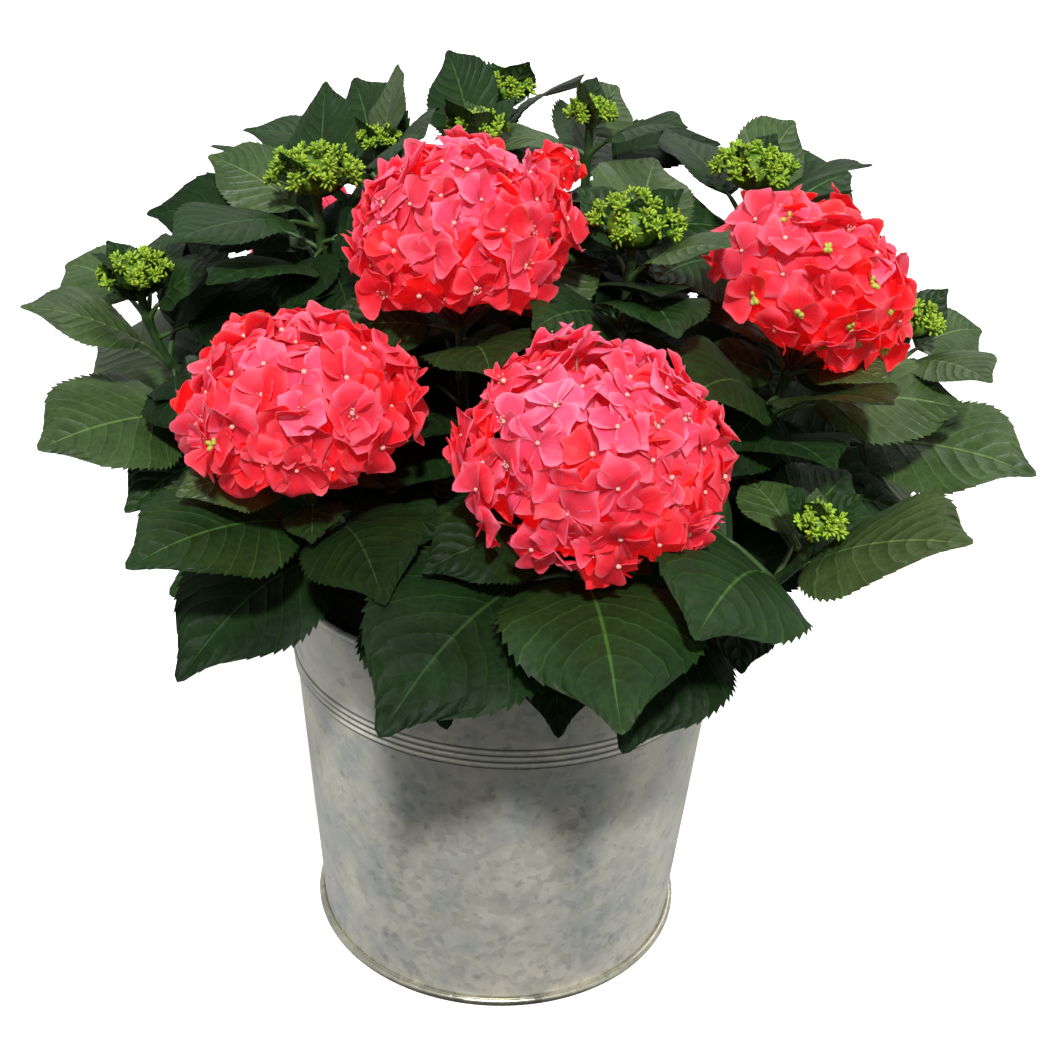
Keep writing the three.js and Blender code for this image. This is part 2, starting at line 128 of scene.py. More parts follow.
class Finish:
    """A material with its shader, and the few kinds of node that these finishes need."""

    def __init__(self, name, **sockets):
        self.material = bpy.data.materials.new(name)
        self.material.use_nodes = True
        self.tree = self.material.node_tree
        self.shader = self.tree.nodes["Principled BSDF"]
        self.place = self.tree.nodes.new("ShaderNodeTexCoord").outputs["Object"]
        for socket, value in sockets.items():
            self.shader.inputs[socket.replace("_", " ")].default_value = value

    def node(self, kind, output=0, props=(), **inputs):
        n = self.tree.nodes.new("ShaderNode" + kind)
        for key, value in dict(props).items():
            setattr(n, key, value)
        for key, value in inputs.items():
            self.join(value, n.inputs[key.replace("_", " ")])
        return n.outputs[output]

    def join(self, value, socket):
        if isinstance(value, bpy.types.NodeSocket):
            self.tree.links.new(value, socket)
        else:
            socket.default_value = value

    def noise(self, scale, detail=3.0, vector=None, rough=0.5):
        return self.node("TexNoise", "Fac", Vector=vector or self.place, Scale=scale, Detail=detail,
                         Roughness=rough)

    def cells(self, scale, output="Distance", feature="F1", vector=None):
        return self.node("TexVoronoi", output, {"feature": feature}, Vector=vector or self.place, Scale=scale)

    def ramp(self, value, *stops, output="Color"):
        n = self.tree.nodes.new("ShaderNodeValToRGB")
        marks = n.color_ramp.elements
        while len(marks) < len(stops):
            marks.new(0.5)
        for mark, (place, colour) in zip(marks, stops):
            mark.position = place
            mark.color = tone(colour) if isinstance(colour, str) else (colour, colour, colour, 1)
        self.tree.links.new(value, n.inputs["Fac"])
        return n.outputs[output]

    def span(self, value, low, high, at=0.0, to=1.0):
        return self.node("MapRange", 0, Value=value, From_Min=at, From_Max=to, To_Min=low, To_Max=high)

    def mix(self, share, a, b, how="MIX"):
        n = self.tree.nodes.new("ShaderNodeMix")
        n.data_type, n.blend_type = "RGBA", how
        self.join(share, n.inputs[0])
        self.join(tone(a) if isinstance(a, str) else a, n.inputs[6])
        self.join(tone(b) if isinstance(b, str) else b, n.inputs[7])
        return n.outputs[2]

    def math(self, operation, a, b=0.0):
        n = self.tree.nodes.new("ShaderNodeMath")
        n.operation = operation
        self.join(a, n.inputs[0])
        self.join(b, n.inputs[1])
        return n.outputs[0]

    def colour(self, value):
        self.join(value, self.shader.inputs["Base Color"])

    def rough(self, value):
        self.join(value, self.shader.inputs["Roughness"])

    def relief(self, height, distance, strength=1.0, after=None):
        bump = self.tree.nodes.new("ShaderNodeBump")
        bump.inputs["Distance"].default_value = distance
        bump.inputs["Strength"].default_value = strength
        self.join(height, bump.inputs["Height"])
        if after is not None:
            self.join(after, bump.inputs["Normal"])
        self.join(bump.outputs["Normal"], self.shader.inputs["Normal"])
        return bump.outputs["Normal"]


def finish(name, colour, rough=0.5, **sockets):
    f = Finish(name, Roughness=rough, **sockets)
    f.colour(tone(colour))
    return f.material


BAND = (0.1823, 0.1993)  # where the pressed band with its ridges starts and ends
# painted shade in the grooves beside the ridges, as shares of the band's height: where
# each dark line sets in, is dark from and to, and ends, and how much light it keeps
GROOVE_SHADE = [(0.06, 0.1, 0.135, 0.19, 0.2), (0.31, 0.355, 0.39, 0.44, 0.2),
           (0.57, 0.612, 0.648, 0.69, 0.2), (0.82, 0.87, 0.905, 0.95, 0.25)]


def zinc(name, shades, rough=(0.38, 0.52), metallic=0.38, groove_shade=False):
    """Hot-dipped zinc: fine crystals and small dark flecks under cloudy patches."""
    f = Finish(name, Metallic=metallic)
    bent = f.node("VectorMath", 0, {"operation": "MULTIPLY_ADD"})
    drift = f.node("TexNoise", "Color", Vector=f.place, Scale=80.0, Detail=4.0)
    for value, socket in zip((drift, (0.011, 0.011, 0.011), f.place), bent.node.inputs):
        f.join(value, socket)
    crystal = f.node("SeparateColor", 0, Color=f.cells(185.0, "Color", vector=bent))
    cloud = f.noise(26.0, 7.0, rough=0.62)
    patch = f.ramp(cloud, *zip((0.34, 0.46, 0.56, 0.7), shades))
    spangle = f.ramp(crystal, (0.0, 0.85), (0.35, 0.94), (0.8, 1.0))
    fleck = f.ramp(f.noise(115.0, 5.0, rough=0.62), (0.57, 1.0), (0.66, 0.8), (0.74, 0.68))
    colour = f.mix(1.0, f.mix(1.0, patch, spangle, "MULTIPLY"), fleck, "MULTIPLY")
    # painted shade: dark lines in the grooves of the pressed band
    if groove_shade:
        height = f.span(f.node("SeparateXYZ", "Z", Vector=f.place), 0.0, 1.0, *BAND)
        shade_lines = [stop for a, b, c, d, kept in GROOVE_SHADE for stop in ((a, 1.0), (b, kept), (c, kept), (d, 1.0))]
        colour = f.mix(1.0, colour, f.ramp(height, *shade_lines), "MULTIPLY")
    f.colour(colour)
    f.rough(f.span(crystal, *rough))
    f.relief(f.mix(0.5, f.noise(420.0, 2.0), crystal), 0.0004, 0.2)
    return f.material


def leaf_finish(name, deep, light, vein, rough, specular=0.3):
    """Green lamina: side veins pressed in, soft quilting between them and a fine net on it."""
    f = Finish(name, Specular_IOR_Level=specular)
    net = f.node("UVMap", 0, {"uv_map": "net"})
    across = f.math("ABSOLUTE", f.node("SeparateXYZ", "X", Vector=net))
    wander = f.span(f.noise(75.0, 2.0), -0.17, 0.17)
    between = f.math("PINGPONG", f.math("ADD", f.node("SeparateXYZ", "Y", Vector=net), wander), 0.5)
    side = f.ramp(between, (0.0, 0.32), (0.025, 0.2), (0.055, 0.0))
    rib = f.ramp(across, (0.0, 0.75), (0.011, 0.6), (0.024, 0.0))
    faint = f.span(f.node("SeparateXYZ", "Y", Vector=net), 1.0, 0.1, 3.5, 7.5)
    veins = f.math("MAXIMUM", f.math("MULTIPLY", side, faint), rib)
    fine = f.cells(150.0, "Distance", "DISTANCE_TO_EDGE")
    lamina = f.ramp(f.noise(42.0, 5.0), (0.3, deep), (0.7, light))
    lamina = f.mix(1.0, lamina, f.ramp(fine, (0.0, 1.25), (0.12, 1.0)), "MULTIPLY")
    f.colour(f.mix(veins, lamina, vein))
    f.rough(f.span(f.noise(120.0, 2.0), rough - 0.06, rough + 0.1))
    quilt = f.relief(f.ramp(between, (0.0, 0.0), (0.06, 0.28), (0.25, 0.8), (0.5, 1.0)), 0.0011, 0.65)
    pressed = f.relief(f.ramp(fine, (0.0, 0.0), (0.5, 1.0)), 0.0006, 0.32, quilt)
    f.relief(f.ramp(across, (0.0, 0.0), (0.05, 1.0)), 0.0006, 0.6, pressed)
    return f.material


def petal_finish(name, colour, edge, glow, rough=0.5):
    """Petal: thin and velvety, fine veins fanned out from its foot, a paler rim partly of painted highlight,
    painted shade at its foot and a painted glow.
    """
    # the emission is a painted glow in the petal's own colour, lifting its shade
    f = Finish(name, Specular_IOR_Level=0.22, Subsurface_Weight=0.4, Subsurface_Scale=0.003,
               Emission_Color=tone(colour), Emission_Strength=glow)
    net = f.node("UVMap", 0, {"uv_map": "net"})
    across = f.math("ABSOLUTE", f.node("SeparateXYZ", "X", Vector=net))
    out = f.math("FRACT", f.node("SeparateXYZ", "Y", Vector=net))
    # the paler rim: partly the petal's own paler edge, partly a painted highlight where the edge catches
    # light
    rim = f.math("MAXIMUM", f.ramp(across, (0.6, 0.0), (1.0, 0.7)), f.ramp(out, (0.62, 0.0), (0.94, 0.7)))
    streak = f.noise(1.0, 3.0, f.node("Mapping", 0, Vector=net, Scale=(8.0, 1.3, 1.0)))
    tint = f.mix(1.0, tone(colour), f.ramp(streak, (0.3, 0.82), (0.5, 0.97), (0.7, 1.0)), "MULTIPLY")
    # painted shade: darker at the petal's foot, in the floret's middle
    tint = f.mix(1.0, tint, f.ramp(out, (0.03, 0.66), (0.4, 1.0)), "MULTIPLY")
    f.colour(f.mix(rim, tint, edge))
    f.rough(f.span(f.noise(260.0, 2.0), rough - 0.06, rough + 0.1))
    f.relief(streak, 0.0005, 0.35)
    return f.material


def bead_finish(name, dark, light):
    """A closed bud: waxy green, darker at random from bead to bead."""
    f = Finish(name, Specular_IOR_Level=0.3)
    f.colour(f.ramp(f.noise(310.0, 2.0), (0.35, dark), (0.65, light)))
    f.rough(f.span(f.noise(300.0, 2.0), 0.42, 0.6))
    f.relief(f.noise(900.0, 2.0), 0.0002, 0.3)
    return f.material


def bark_finish(name, dark, mid, light, rough=0.75):
    f = Finish(name, Specular_IOR_Level=0.3)
    stretch = f.node("Mapping", 0, Vector=f.place, Scale=(1.0, 1.0, 0.28))
    f.colour(f.ramp(f.noise(260.0, 5.0, stretch, 0.65), (0.3, dark), (0.5, mid), (0.72, light)))
    f.rough(f.span(f.noise(300.0), rough - 0.1, rough + 0.12))
    f.relief(f.noise(420.0, 4.0, stretch), 0.0006, 0.6)
    return f.material


def soil_finish():
    f = Finish("potting_soil_dark", Specular_IOR_Level=0.25)
    f.colour(f.ramp(f.noise(170.0, 6.0, rough=0.7), (0.3, "#0d0a08"), (0.55, "#1c1511"), (0.8, "#33281f")))
    f.rough(f.span(f.noise(90.0), 0.78, 0.98))
    f.relief(f.noise(420.0, 6.0, rough=0.7), 0.0012, 0.9)
    return f.material


# --------------------------------------------------------------- meshes by hand
def pick(*objects):
    """Selects these objects and nothing else, with the first one active."""
    bpy.ops.object.select_all(action="DESELECT")
    for obj in objects:
        obj.select_set(True)
    bpy.context.view_layer.objects.active = objects[0]


def one_of(*objects):
    """Joins the objects into the first one, each where it stands."""
    pick(*objects)
    bpy.ops.object.transform_apply(location=True, rotation=True, scale=True)
    bpy.ops.object.join()
    return bpy.context.object


def settle(obj, name, slot, *nodes):
    """Applies the place of a finished piece, names it, hangs it on the root and hides the parts that it
    stands in for; its slot is not used.
    """
    pick(obj)
    bpy.ops.object.transform_apply(location=True, rotation=True, scale=True)
    obj.name = obj.data.name = name
    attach(obj, "root")
    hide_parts(*nodes)
    return obj


def pick_rims():
    """In edit mode, selects the open edges and nothing else."""
    bpy.ops.mesh.select_all(action="DESELECT")
    bpy.ops.mesh.select_non_manifold()


def ring_up(profile, sides, bridged=False):
    """A circle drawn out ring by ring along a profile of (radius, height) pairs, and closed.

    Its two ends are bridged to each other, or each is filled.
    """
    r, z = profile[0]
    bpy.ops.mesh.primitive_circle_add(vertices=sides, radius=r * MM, location=(0, 0, z * MM))
    obj = bpy.context.object
    bpy.ops.object.mode_set(mode="EDIT")
    bpy.ops.mesh.select_all(action="SELECT")
    for r2, z2 in profile[1:]:
        bpy.ops.mesh.extrude_region_move(TRANSFORM_OT_translate={"value": (0, 0, (z2 - z) * MM)})
        bpy.ops.transform.resize(value=(r2 / r, r2 / r, 1), center_override=(0, 0, 0))
        r, z = r2, z2
    pick_rims()
    if bridged:
        bpy.ops.mesh.bridge_edge_loops()
    else:
        bpy.ops.mesh.edge_face_add()
        pick_rims()
        bpy.ops.mesh.fill_holes(sides=0)
    bpy.ops.mesh.select_all(action="SELECT")
    bpy.ops.mesh.normals_make_consistent(inside=False)
    bpy.ops.object.mode_set(mode="OBJECT")
    bpy.ops.object.shade_smooth_by_angle(angle=math.radians(40))
    return obj


def from_arrays(name, parts, materials, net=False):
    """One mesh from many parts, points in millimetres.

    A part is its points, quads and tris, the materials of each, and where it has
    one, its flat net: each point's place across and along it.
    """
    start, points, faces, slots, nets = 0, [], [], [], []
    for p, quads, tris, quad_slots, tri_slots, *flat in parts:
        points.append(p)
        faces += (quads + start).tolist() + (tris + start).tolist()
        slots += [quad_slots, tri_slots]
        nets += flat
        start += len(p)
    mesh = bpy.data.meshes.new(name)
    mesh.from_pydata((np.concatenate(points) * MM).tolist(), [], faces)
    mesh.polygons.foreach_set("material_index", np.concatenate(slots).astype(np.int32))
    mesh.polygons.foreach_set("use_smooth", np.ones(len(faces), bool))
    if net:
        corners = np.empty(len(mesh.loops), np.int32)
        mesh.loops.foreach_get("vertex_index", corners)
        places = np.concatenate(nets)[corners].astype(np.float32)
        mesh.uv_layers.new(name="net").data.foreach_set("uv", places.ravel())
    mesh.update()
    obj = bpy.data.objects.new(name, mesh)
    scene.collection.objects.link(obj)
    for m in materials:
        mesh.materials.append(m)
    pick(obj)
    bpy.ops.object.shade_smooth_by_angle(angle=math.radians(100))
    return obj


def part(points, quads, tris, slot, *flat):
    """A part all of one material, as from_arrays takes it."""
    return (points, quads, tris, np.full(len(quads), slot), np.full(len(tris), slot), *flat)


def around(sides):
    """A circle's angles, and each point's own number beside the next one's."""
    return np.arange(sides) * 2 * math.pi / sides, np.arange(sides), (np.arange(sides) + 1) % sides


def bands_between(rings, i, j):
    """The quads that join each ring of points to the next."""
    k = np.arange(rings - 1)[:, None] * len(i)
    return np.stack([k + i, k + j, k + len(i) + j, k + len(i) + i], -1).reshape(-1, 4)


def tube(path, radii, sides, slot=0):
    """A closed round rod along points, for stems, petioles and stalks."""
    path = np.asarray(path, float)
    way = np.gradient(path, axis=0)
    way /= np.linalg.norm(way, axis=1)[:, None]
    ref = np.array([0.0, 1.0, 0.0]) if abs(way[:, 1]).max() < 0.9 else np.array([1.0, 0.0, 0.0])
    e = np.cross(ref, way)
    e /= np.linalg.norm(e, axis=1)[:, None]
    f = np.cross(way, e)
    q, i, j = around(sides)
    rim = e[:, None] * np.cos(q)[None, :, None] + f[:, None] * np.sin(q)[None, :, None]
    rings = path[:, None] + rim * np.asarray(radii, float)[:, None, None]
    points = np.concatenate([rings.reshape(-1, 3), path[:1], path[-1:]])
    n, last = len(path), (len(path) - 1) * sides
    foot, top = np.full(sides, n * sides), np.full(sides, n * sides + 1)
    tris = np.concatenate([np.stack([j, i, foot], 1), np.stack([last + i, last + j, top], 1)])
    return part(points, bands_between(n, i, j), tris, slot)


def bead(centre, radius, squash=1.0, axis=UP, slot=0, sides=6, bands=4):
    """A small round bead, a few dozen faces."""
    axis = axis / np.linalg.norm(axis)
    e = np.cross([0.3, 0.9, 0.1], axis)
    e /= np.linalg.norm(e)
    f = np.cross(axis, e)
    q, i, j = around(sides)
    rings = []
    for b in range(1, bands):
        a = math.pi * b / bands
        rim = np.cos(q)[:, None] * e + np.sin(q)[:, None] * f
        rings.append(math.sin(a) * rim + math.cos(a) * squash * axis)
    points = np.concatenate(rings + [[squash * axis], [-squash * axis]]) * radius + centre
    m = (bands - 1) * sides
    top, foot = np.full(sides, m), np.full(sides, m + 1)
    tris = np.concatenate([np.stack([top, i, j], 1), np.stack([foot, m - sides + j, m - sides + i], 1)])
    return part(points, bands_between(bands - 1, i, j)[:, [0, 3, 2, 1]], tris, slot)


# ------------------------------------------------------- the shoots, as planned
# All of these are the source's own, in millimetres and degrees.  A drop is how far a place
# on a shoot lies below its head.
SOIL_TOP = 232.3  # where the canes start
TIP_DROP = 122  # where a cane ends and its green stem starts
STUB = 9  # how far below a bloom its stem ends
NODE_DROP = [16, 42, 84, 115]  # the pairs of leaves
PETIOLE, HALF_WIDTH, FOLD, LEAN = 0.2, 0.36, 0.16, 0.7
DROOP = 40
BEND = math.radians(DROOP)
RULE = [(84, 24), (118, 14), (132, 0), (120, -6)]  # each pair's length and rise
# turn, lift and share of its length with which a leaf is tried, one after the other
TRIES = [[0, 0, 1], [0, 8, 1], [0, -8, 1], [10, 0, 1], [-10, 0, 1], [0, -16, 1], [0, 16, 1], [14, -10, 1],
         [-14, -10, 1], [0, -24, 1], [20, 0, 0.92], [-20, 0, 0.92], [0, 24, 0.92], [0, -34, 0.9], [0, 0, 0.8],
         [12, 12, 0.8], [-12, 12, 0.8], [0, -20, 0.75], [24, -10, 0.75], [-24, -10, 0.75], [0, 0, 0.62]]
# name, azimuth, reach, height, head, radius, tilt, how tall it is domed, dent, and
# the leaves with a row of their own: node, azimuth, rise, length, and for some a width
SHOOTS = [
    ("front", -79, 198, 402, "bloom", 63, 29, 0.76, 62,
     [(2, -82, -1, 138, 1.18), (2, -125, -8, 146, 1.08), (4, -85, -18, 100), (1, 41, -7, 95),
      (1, -150, -12, 84)]),
    ("front_right", -52, 235, 370, "bud", 9, 0, 0.8, 0,
     [(2, -48, 30, 118, 1.15), (1, -100, 38, 48), (2, -115, 11, 122, 1.15), (2, 59, 16, 95),
      (3, -116, -13, 125), (3, -89, 1, 80), (4, 15, 24, 100)]),
    ("left", -121, 193, 408, "bloom", 58, 15, 0.7, 0,
     [(2, -131, 11, 122), (3, -129, -8, 130), (2, -69, 5, 105), (3, 172, -21, 122), (2, 159, 42, 108)]),
    ("left_low", -169, 208, 429, "bud", 15, 0, 0.8, 0,
     [(2, -150, 28, 86), (1, 149, 12, 80), (1, 162, 62, 46), (1, 92, 41, 66), (1, -24, 39, 58),
      (2, 60, 72, 88), (3, -110, 29, 66), (3, -132, 4, 112, 1.2), (4, -127, -1, 96)]),
    ("right", -32, 169, 452, "bloom", 51, 26, 0.8, 0,
     [(2, -64, 30, 105), (3, -67, 22, 110), (2, -123, 22, 100), (1, 55, 43, 100)]),
    ("right_low", -7, 216, 417, "bud", 13, 0, 0.8, 0,
     [(1, -64, 10, 76), (1, 37, 7, 72), (2, 41, -13, 70), (3, -36, 10, 128)]),
    ("crown", -107, 99, 474, "bloom", 58, 20, 0.7, 0, [(4, -135, 1, 112), (3, -108, 21, 100)]),
    ("centre", -55, 98, 478, "bud", 19, 0, 0.8, 0,
     [(1, 80, 27, 98), (1, -54, 25, 80), (1, 112, 19, 78), (2, -77, 16, 95), (2, -112, 15, 90)]),
    ("upper_right", 0, 123, 489, "bud", 18, 0, 0.8, 0,
     [(1, 61, 35, 76), (1, 125, 24, 84), (1, -35, 31, 82), (2, -43, 32, 92), (2, -120, 22, 100)]),
    ("upper_left", -162, 114, 485, "bud", 19, 0, 0.8, 0,
     [(1, 154, 19, 76), (1, 92, 57, 78), (1, -130, 4, 98), (2, 138, 24, 85), (2, -120, 9, 95),
      (3, -113, 21, 100)]),
    ("inner", -27, 18, 488, "bloom", 17, 10, 0.8, 0, []),
    ("mid_top", 159, 28, 503, "bud", 12, 0, 0.8, 0, [(1, -92, 53, 46), (2, -109, 40, 88)]),
    ("top_right", 41, 46, 510, "bud", 10, 0, 0.8, 0, [(1, 73, 24, 66), (1, -39, 24, 72), (1, -175, 6, 66)]),
    ("top", 101, 77, 513, "bud", 13, 0, 0.8, 0,
     [(1, 106, 11, 84), (1, 56, 13, 84), (2, 116, 12, 100), (1, -128, 5, 60)]),
    ("top_left", 154, 93, 488, "bud", 9, 0, 0.8, 0, [(1, 177, 19, 84), (2, 111, 47, 100), (1, 79, 36, 76)]),
    ("back_left", 131, 188, 388, "bloom", 54, 26, 0.8, 0, []),
    ("back", 84, 195, 372, "bloom", 55, 30, 0.8, 0, []),
    ("back_right", 38, 205, 415, "bud", 16, 0, 0.8, 0, []),
]


def seeded(seed):
    """The source's own row of random numbers, the same each time."""
    state = [seed & 0xFFFFFFFF]

    def draw():
        state[0] = (state[0] + 0x6D2B79F5) & 0xFFFFFFFF
        t = state[0]
        t = ((t ^ (t >> 15)) * (t | 1)) & 0xFFFFFFFF
        t ^= (t + ((t ^ (t >> 7)) * (t | 61))) & 0xFFFFFFFF
        return ((t ^ (t >> 14)) & 0xFFFFFFFF) / 4294967296

    return draw


def unit(v):
    return v / np.linalg.norm(v)


def level_way(azimuth):
    return np.array([math.cos(math.radians(azimuth)), math.sin(math.radians(azimuth)), 0.0])


class Shoot:
    """One cane from the soil to its head, as a single curve."""

    def __init__(self, order, name, az, reach, z, head, r, tilt, tall, dent, rows):
        self.order, self.name, self.az, self.reach, self.head, self.r = order, name, az, reach, head, r
        self.tall, self.dent, self.rows = tall, dent, rows
        self.out = level_way(az)
        ring = 13 if reach < 60 else 30 if reach < 140 else 50
        self.foot = self.out * ring + UP * SOIL_TOP
        self.middle = self.out * reach + UP * z
        run = self.middle - self.foot
        low = self.foot + run * [0.12, 0.12, 0.3]
        high = self.foot + run * [0.92, 0.92, 0.45]
        self.axis = unit(self.middle - high)
        self.ends = [self.foot, low, high, self.middle - 0.6 * r * self.axis]
        t = np.linspace(0, 1, 401)
        self.line = self.on_curve(t)
        self.reached = np.concatenate([[0], np.cumsum(np.linalg.norm(np.diff(self.line, axis=0), axis=1))])
        self.length = self.reached[-1]
        lean = math.radians(tilt)
        self.face = self.axis if head == "bud" else self.out * math.sin(lean) + UP * math.cos(lean)
        front = 1.3 * min(1, max(0, (120 - self.middle[1]) / 160))
        self.toward = unit(np.array([self.out[0], self.out[1] - front, 0]))
        co = [v.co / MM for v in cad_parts["foliage_" + name].data.vertices]
        self.mass = KDTree(len(co))
        for i, c in enumerate(co):
            self.mass.insert(c, i)
        self.mass.balance()

    def on_curve(self, t):
        t = np.asarray(t, float)[..., None]
        a, b, c, d = self.ends
        return a * (1 - t) ** 3 + 3 * b * t * (1 - t) ** 2 + 3 * c * t * t * (1 - t) + d * t ** 3

    def spot(self, drop):
        share = np.interp(self.length - np.asarray(drop, float), self.reached, np.linspace(0, 1, 401))
        return self.on_curve(np.clip(share, 0, 1))

    def along(self, drop):
        return unit(self.spot(drop - 0.2) - self.spot(drop + 0.2))


def leaf_tip(foot, az, rise, length):
    ahead, tip = level_way(az), foot + 0.9 * level_way(az)
    for i in range(24):
        q = math.radians(rise + DROOP * (0.5 - (i + 0.5) / 24))
        tip = tip + (ahead * math.cos(q) + UP * math.sin(q)) * (length / 24)
    return tip


def planned_leaves(shoot):
    """The leaves of one mass by the source's rule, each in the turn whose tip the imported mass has."""
    rand = seeded(500 + shoot.order)
    wanted = [(*row, 1)[:5] for row in shoot.rows]
    for n in range(1, 4 if shoot.reach < 130 else 5):
        pair = shoot.az + 45 + 90 * n + 24 * (rand() - 0.5)
        for az in (pair, pair + 180):
            length = RULE[n - 1][0] * (0.88 + 0.24 * rand())
            rise = RULE[n - 1][1] + 12 * (rand() - 0.5)
            if not any(row[0] == n and abs((az - row[1] + 900) % 360 - 180) < 50 for row in shoot.rows):
                wanted.append((n, az, rise, length, 1))
    grown = []
    for n, az, rise, length, wide in wanted:
        foot = shoot.spot(NODE_DROP[n - 1])
        for turn, lift, size in TRIES:
            tip = leaf_tip(foot, az + turn, rise + lift, length * size)
            if shoot.mass.find(Vector(tip))[2] < 0.4:
                grown.append((n, foot, az + turn, rise + lift, length * size, wide))
                break
    return grown


shoots = [Shoot(i, *s) for i, s in enumerate(SHOOTS)]


# -------------------------------------------------------------------- leaves
def leaf_line(s, rise, length):
    """A leaf's middle line at shares s of its length: its slope, its way out and its height."""
    q0 = math.radians(rise) + BEND / 2
    q = q0 - BEND * s
    return q, length / BEND * (math.sin(q0) - np.sin(q)), length / BEND * (np.cos(q) - math.cos(q0))


class Sheet:
    """A thin closed sheet: rows by columns of points above and as many below, which share
    those of the foot and the two edges, and one tip."""

    def lay(self, columns, along, tip):
        """Its faces, and its flat net: columns across, the rows' places along and the tip's."""
        n, m = len(along), len(columns)
        top = np.arange(n * m).reshape(n, m)
        under = top.copy()
        under[1:, 1:-1] = n * m + 1 + np.arange((n - 1) * (m - 2)).reshape(n - 1, m - 2)
        quads = []
        for net, order in ((top, [0, 3, 2, 1]), (under, [0, 1, 2, 3])):
            corners = np.stack([net[:-1, :-1], net[1:, :-1], net[1:, 1:], net[:-1, 1:]], -1)
            quads.append(corners[..., order].reshape(-1, 4))
        self.quads = np.concatenate(quads)
        self.tris = np.array([[top[-1, i], top[-1, i + 1], n * m] for i in range(m - 1)]
                             + [[under[-1, i + 1], under[-1, i], n * m] for i in range(m - 1)])
        grid = np.stack(np.broadcast_arrays(columns, along[:, None]), -1)
        self.flat = self.points(grid, [[0.0, tip]], grid)

    @staticmethod
    def points(top, tip, below):
        """The upper side, the tip, and what the lower side has of its own."""
        size = top.shape[-1]
        return np.concatenate([top.reshape(-1, size), tip, below[1:, 1:-1].reshape(-1, size)])


class Blade(Sheet):
    """The net of one leaf: rows that follow its side veins, columns from edge to edge."""

    def __init__(self, laterals, columns, tooth, notch=0.0035):
        marks = [0.03 + 0.85 * (k / laterals) ** 1.1 for k in range(laterals + 1)]
        rows = [(0.0, 0.0, 0.0), (0.012, 0.0, 0.0)]
        for a, b in zip(marks, marks[1:]):
            teeth = max(1, round((b - a + self.shift(b) - self.shift(a)) / tooth))
            for k in range(teeth):
                t = a + (b - a) * k / teeth
                rows += [(t - notch, k / teeth, 1.0), (t + notch, k / teeth, -0.9)]
        rows.append((0.95, 0.5, 0.0))
        self.t, self.phase, self.tooth = np.array(rows).T
        self.v = np.array(columns)
        vein = np.interp(self.t, [0, *marks, 0.97], [-0.6, *range(len(marks) + 1)])
        self.lay(self.v, vein, len(marks) + 0.1)

    @staticmethod
    def shift(t):
        """How much nearer to the tip a side vein is when it reaches the edge."""
        return 0.42 * np.sin(math.pi * t ** 0.75) * (1 - 0.4 * t)

    def shape(self, foot, az, rise, length, toward, rng, wide=1.0, petiole=PETIOLE, wave=1.0, arch=0.0,
              roll_on=0.0):
        """Its points; toward is the side that it turns its face to."""
        a = math.radians(az)
        ahead, level = level_way(az), np.array([-math.sin(a), math.cos(a), 0.0])
        blade = length * (1 - petiole)
        half = HALF_WIDTH * wide * blade
        roll = -math.atan2(LEAN * float(toward @ level), max(0.6, math.cos(math.radians(rise)))) + roll_on
        v, t = self.v[None, :], self.t[:, None]
        reach = np.abs(v)
        # the outline, with its teeth
        u = t + reach ** 1.05 * self.shift(t)
        edge = (reach > 0.99) * self.tooth[:, None]
        u = np.clip(u + 0.01 * edge, 0, 0.997)
        narrowed = 1 - 0.42 * np.exp(-((u - 0.91) / 0.1) ** 2)
        outline = np.sin(math.pi * np.maximum(u, 1e-4) ** 0.88) ** 0.76 * narrowed
        skew = 1 + 0.05 * rng.uniform(-1, 1) * np.sign(v)
        across = v * half * np.maximum(outline * skew * (1 + 0.034 * edge), 0.016)
        # the middle line; a real leaf's tip turns down a little more, or a little less
        s = petiole + u * (1 - petiole)
        nod = (BEND * (1 + 0.25 * rng.uniform(-1, 1)) - BEND) * length * 0.3
        q, flat, high = leaf_line(s, rise, length)
        high = high - nod * u ** 2 + arch * length * np.sin(math.pi * s)
        q = q + arch * math.pi * np.cos(math.pi * s)
        centre = foot + (0.9 + flat[..., None]) * ahead + high[..., None] * UP
        way = np.cos(q)[..., None] * ahead + np.sin(q)[..., None] * UP
        side = level * math.cos(roll) + np.cross(way, level) * math.sin(roll)
        normal = np.cross(way, side)
        # the relief: folded along the rib, quilted between the veins, wavy at the edge
        panel = np.sin(math.pi * self.phase)[:, None] ** 0.8
        swell = np.clip((reach - 0.03) / 0.28, 0, 1) * (1 - 0.7 * reach ** 3)
        p1, p2, p3 = rng.uniform(0, 6.28, 3)
        up = FOLD * np.abs(across) * (1.25 - 1.2 * reach)
        up = up + 0.008 * blade * panel * swell
        up = up + 0.004 * blade * np.sin(21 * u + p1 + 3 * v) * np.sin(9 * v + p2) * swell
        ripple = np.sin(2 * math.pi * (1.6 + 0.5 * math.sin(p1)) * u + p3 + (v > 0) * 1.9)
        up = up + wave * 0.03 * blade * reach ** 2 * ripple * np.sin(math.pi * u)
        up = up - 0.004 * blade * (reach < 0.05) * (1 - u)
        top = centre + side * across[..., None] + normal * up[..., None]
        # the lower side, thicker at the side veins and most at the rib
        veins = np.zeros_like(u)
        veins[self.phase == 0] = 0.004 * blade
        veins = veins * (1 - reach) + 0.009 * blade * (reach < 0.05) * (1 - 0.8 * u)
        below = top - normal * (0.0035 * blade + 0.12 + veins)[..., None]
        _, out, height = leaf_line(1.0, rise, length)
        tip = foot + (0.9 + out) * ahead + (height - nod) * UP
        return self.points(top, tip[None], below)

    def made(self, lamina, *place, **traits):
        """One leaf, ready for from_arrays, in one finish above and another below."""
        quads, tris = ([lamina] * (len(f) // 2) + [BACK] * (len(f) // 2) for f in (self.quads, self.tris))
        return self.shape(*place, **traits), self.quads, self.tris, quads, tris, self.flat


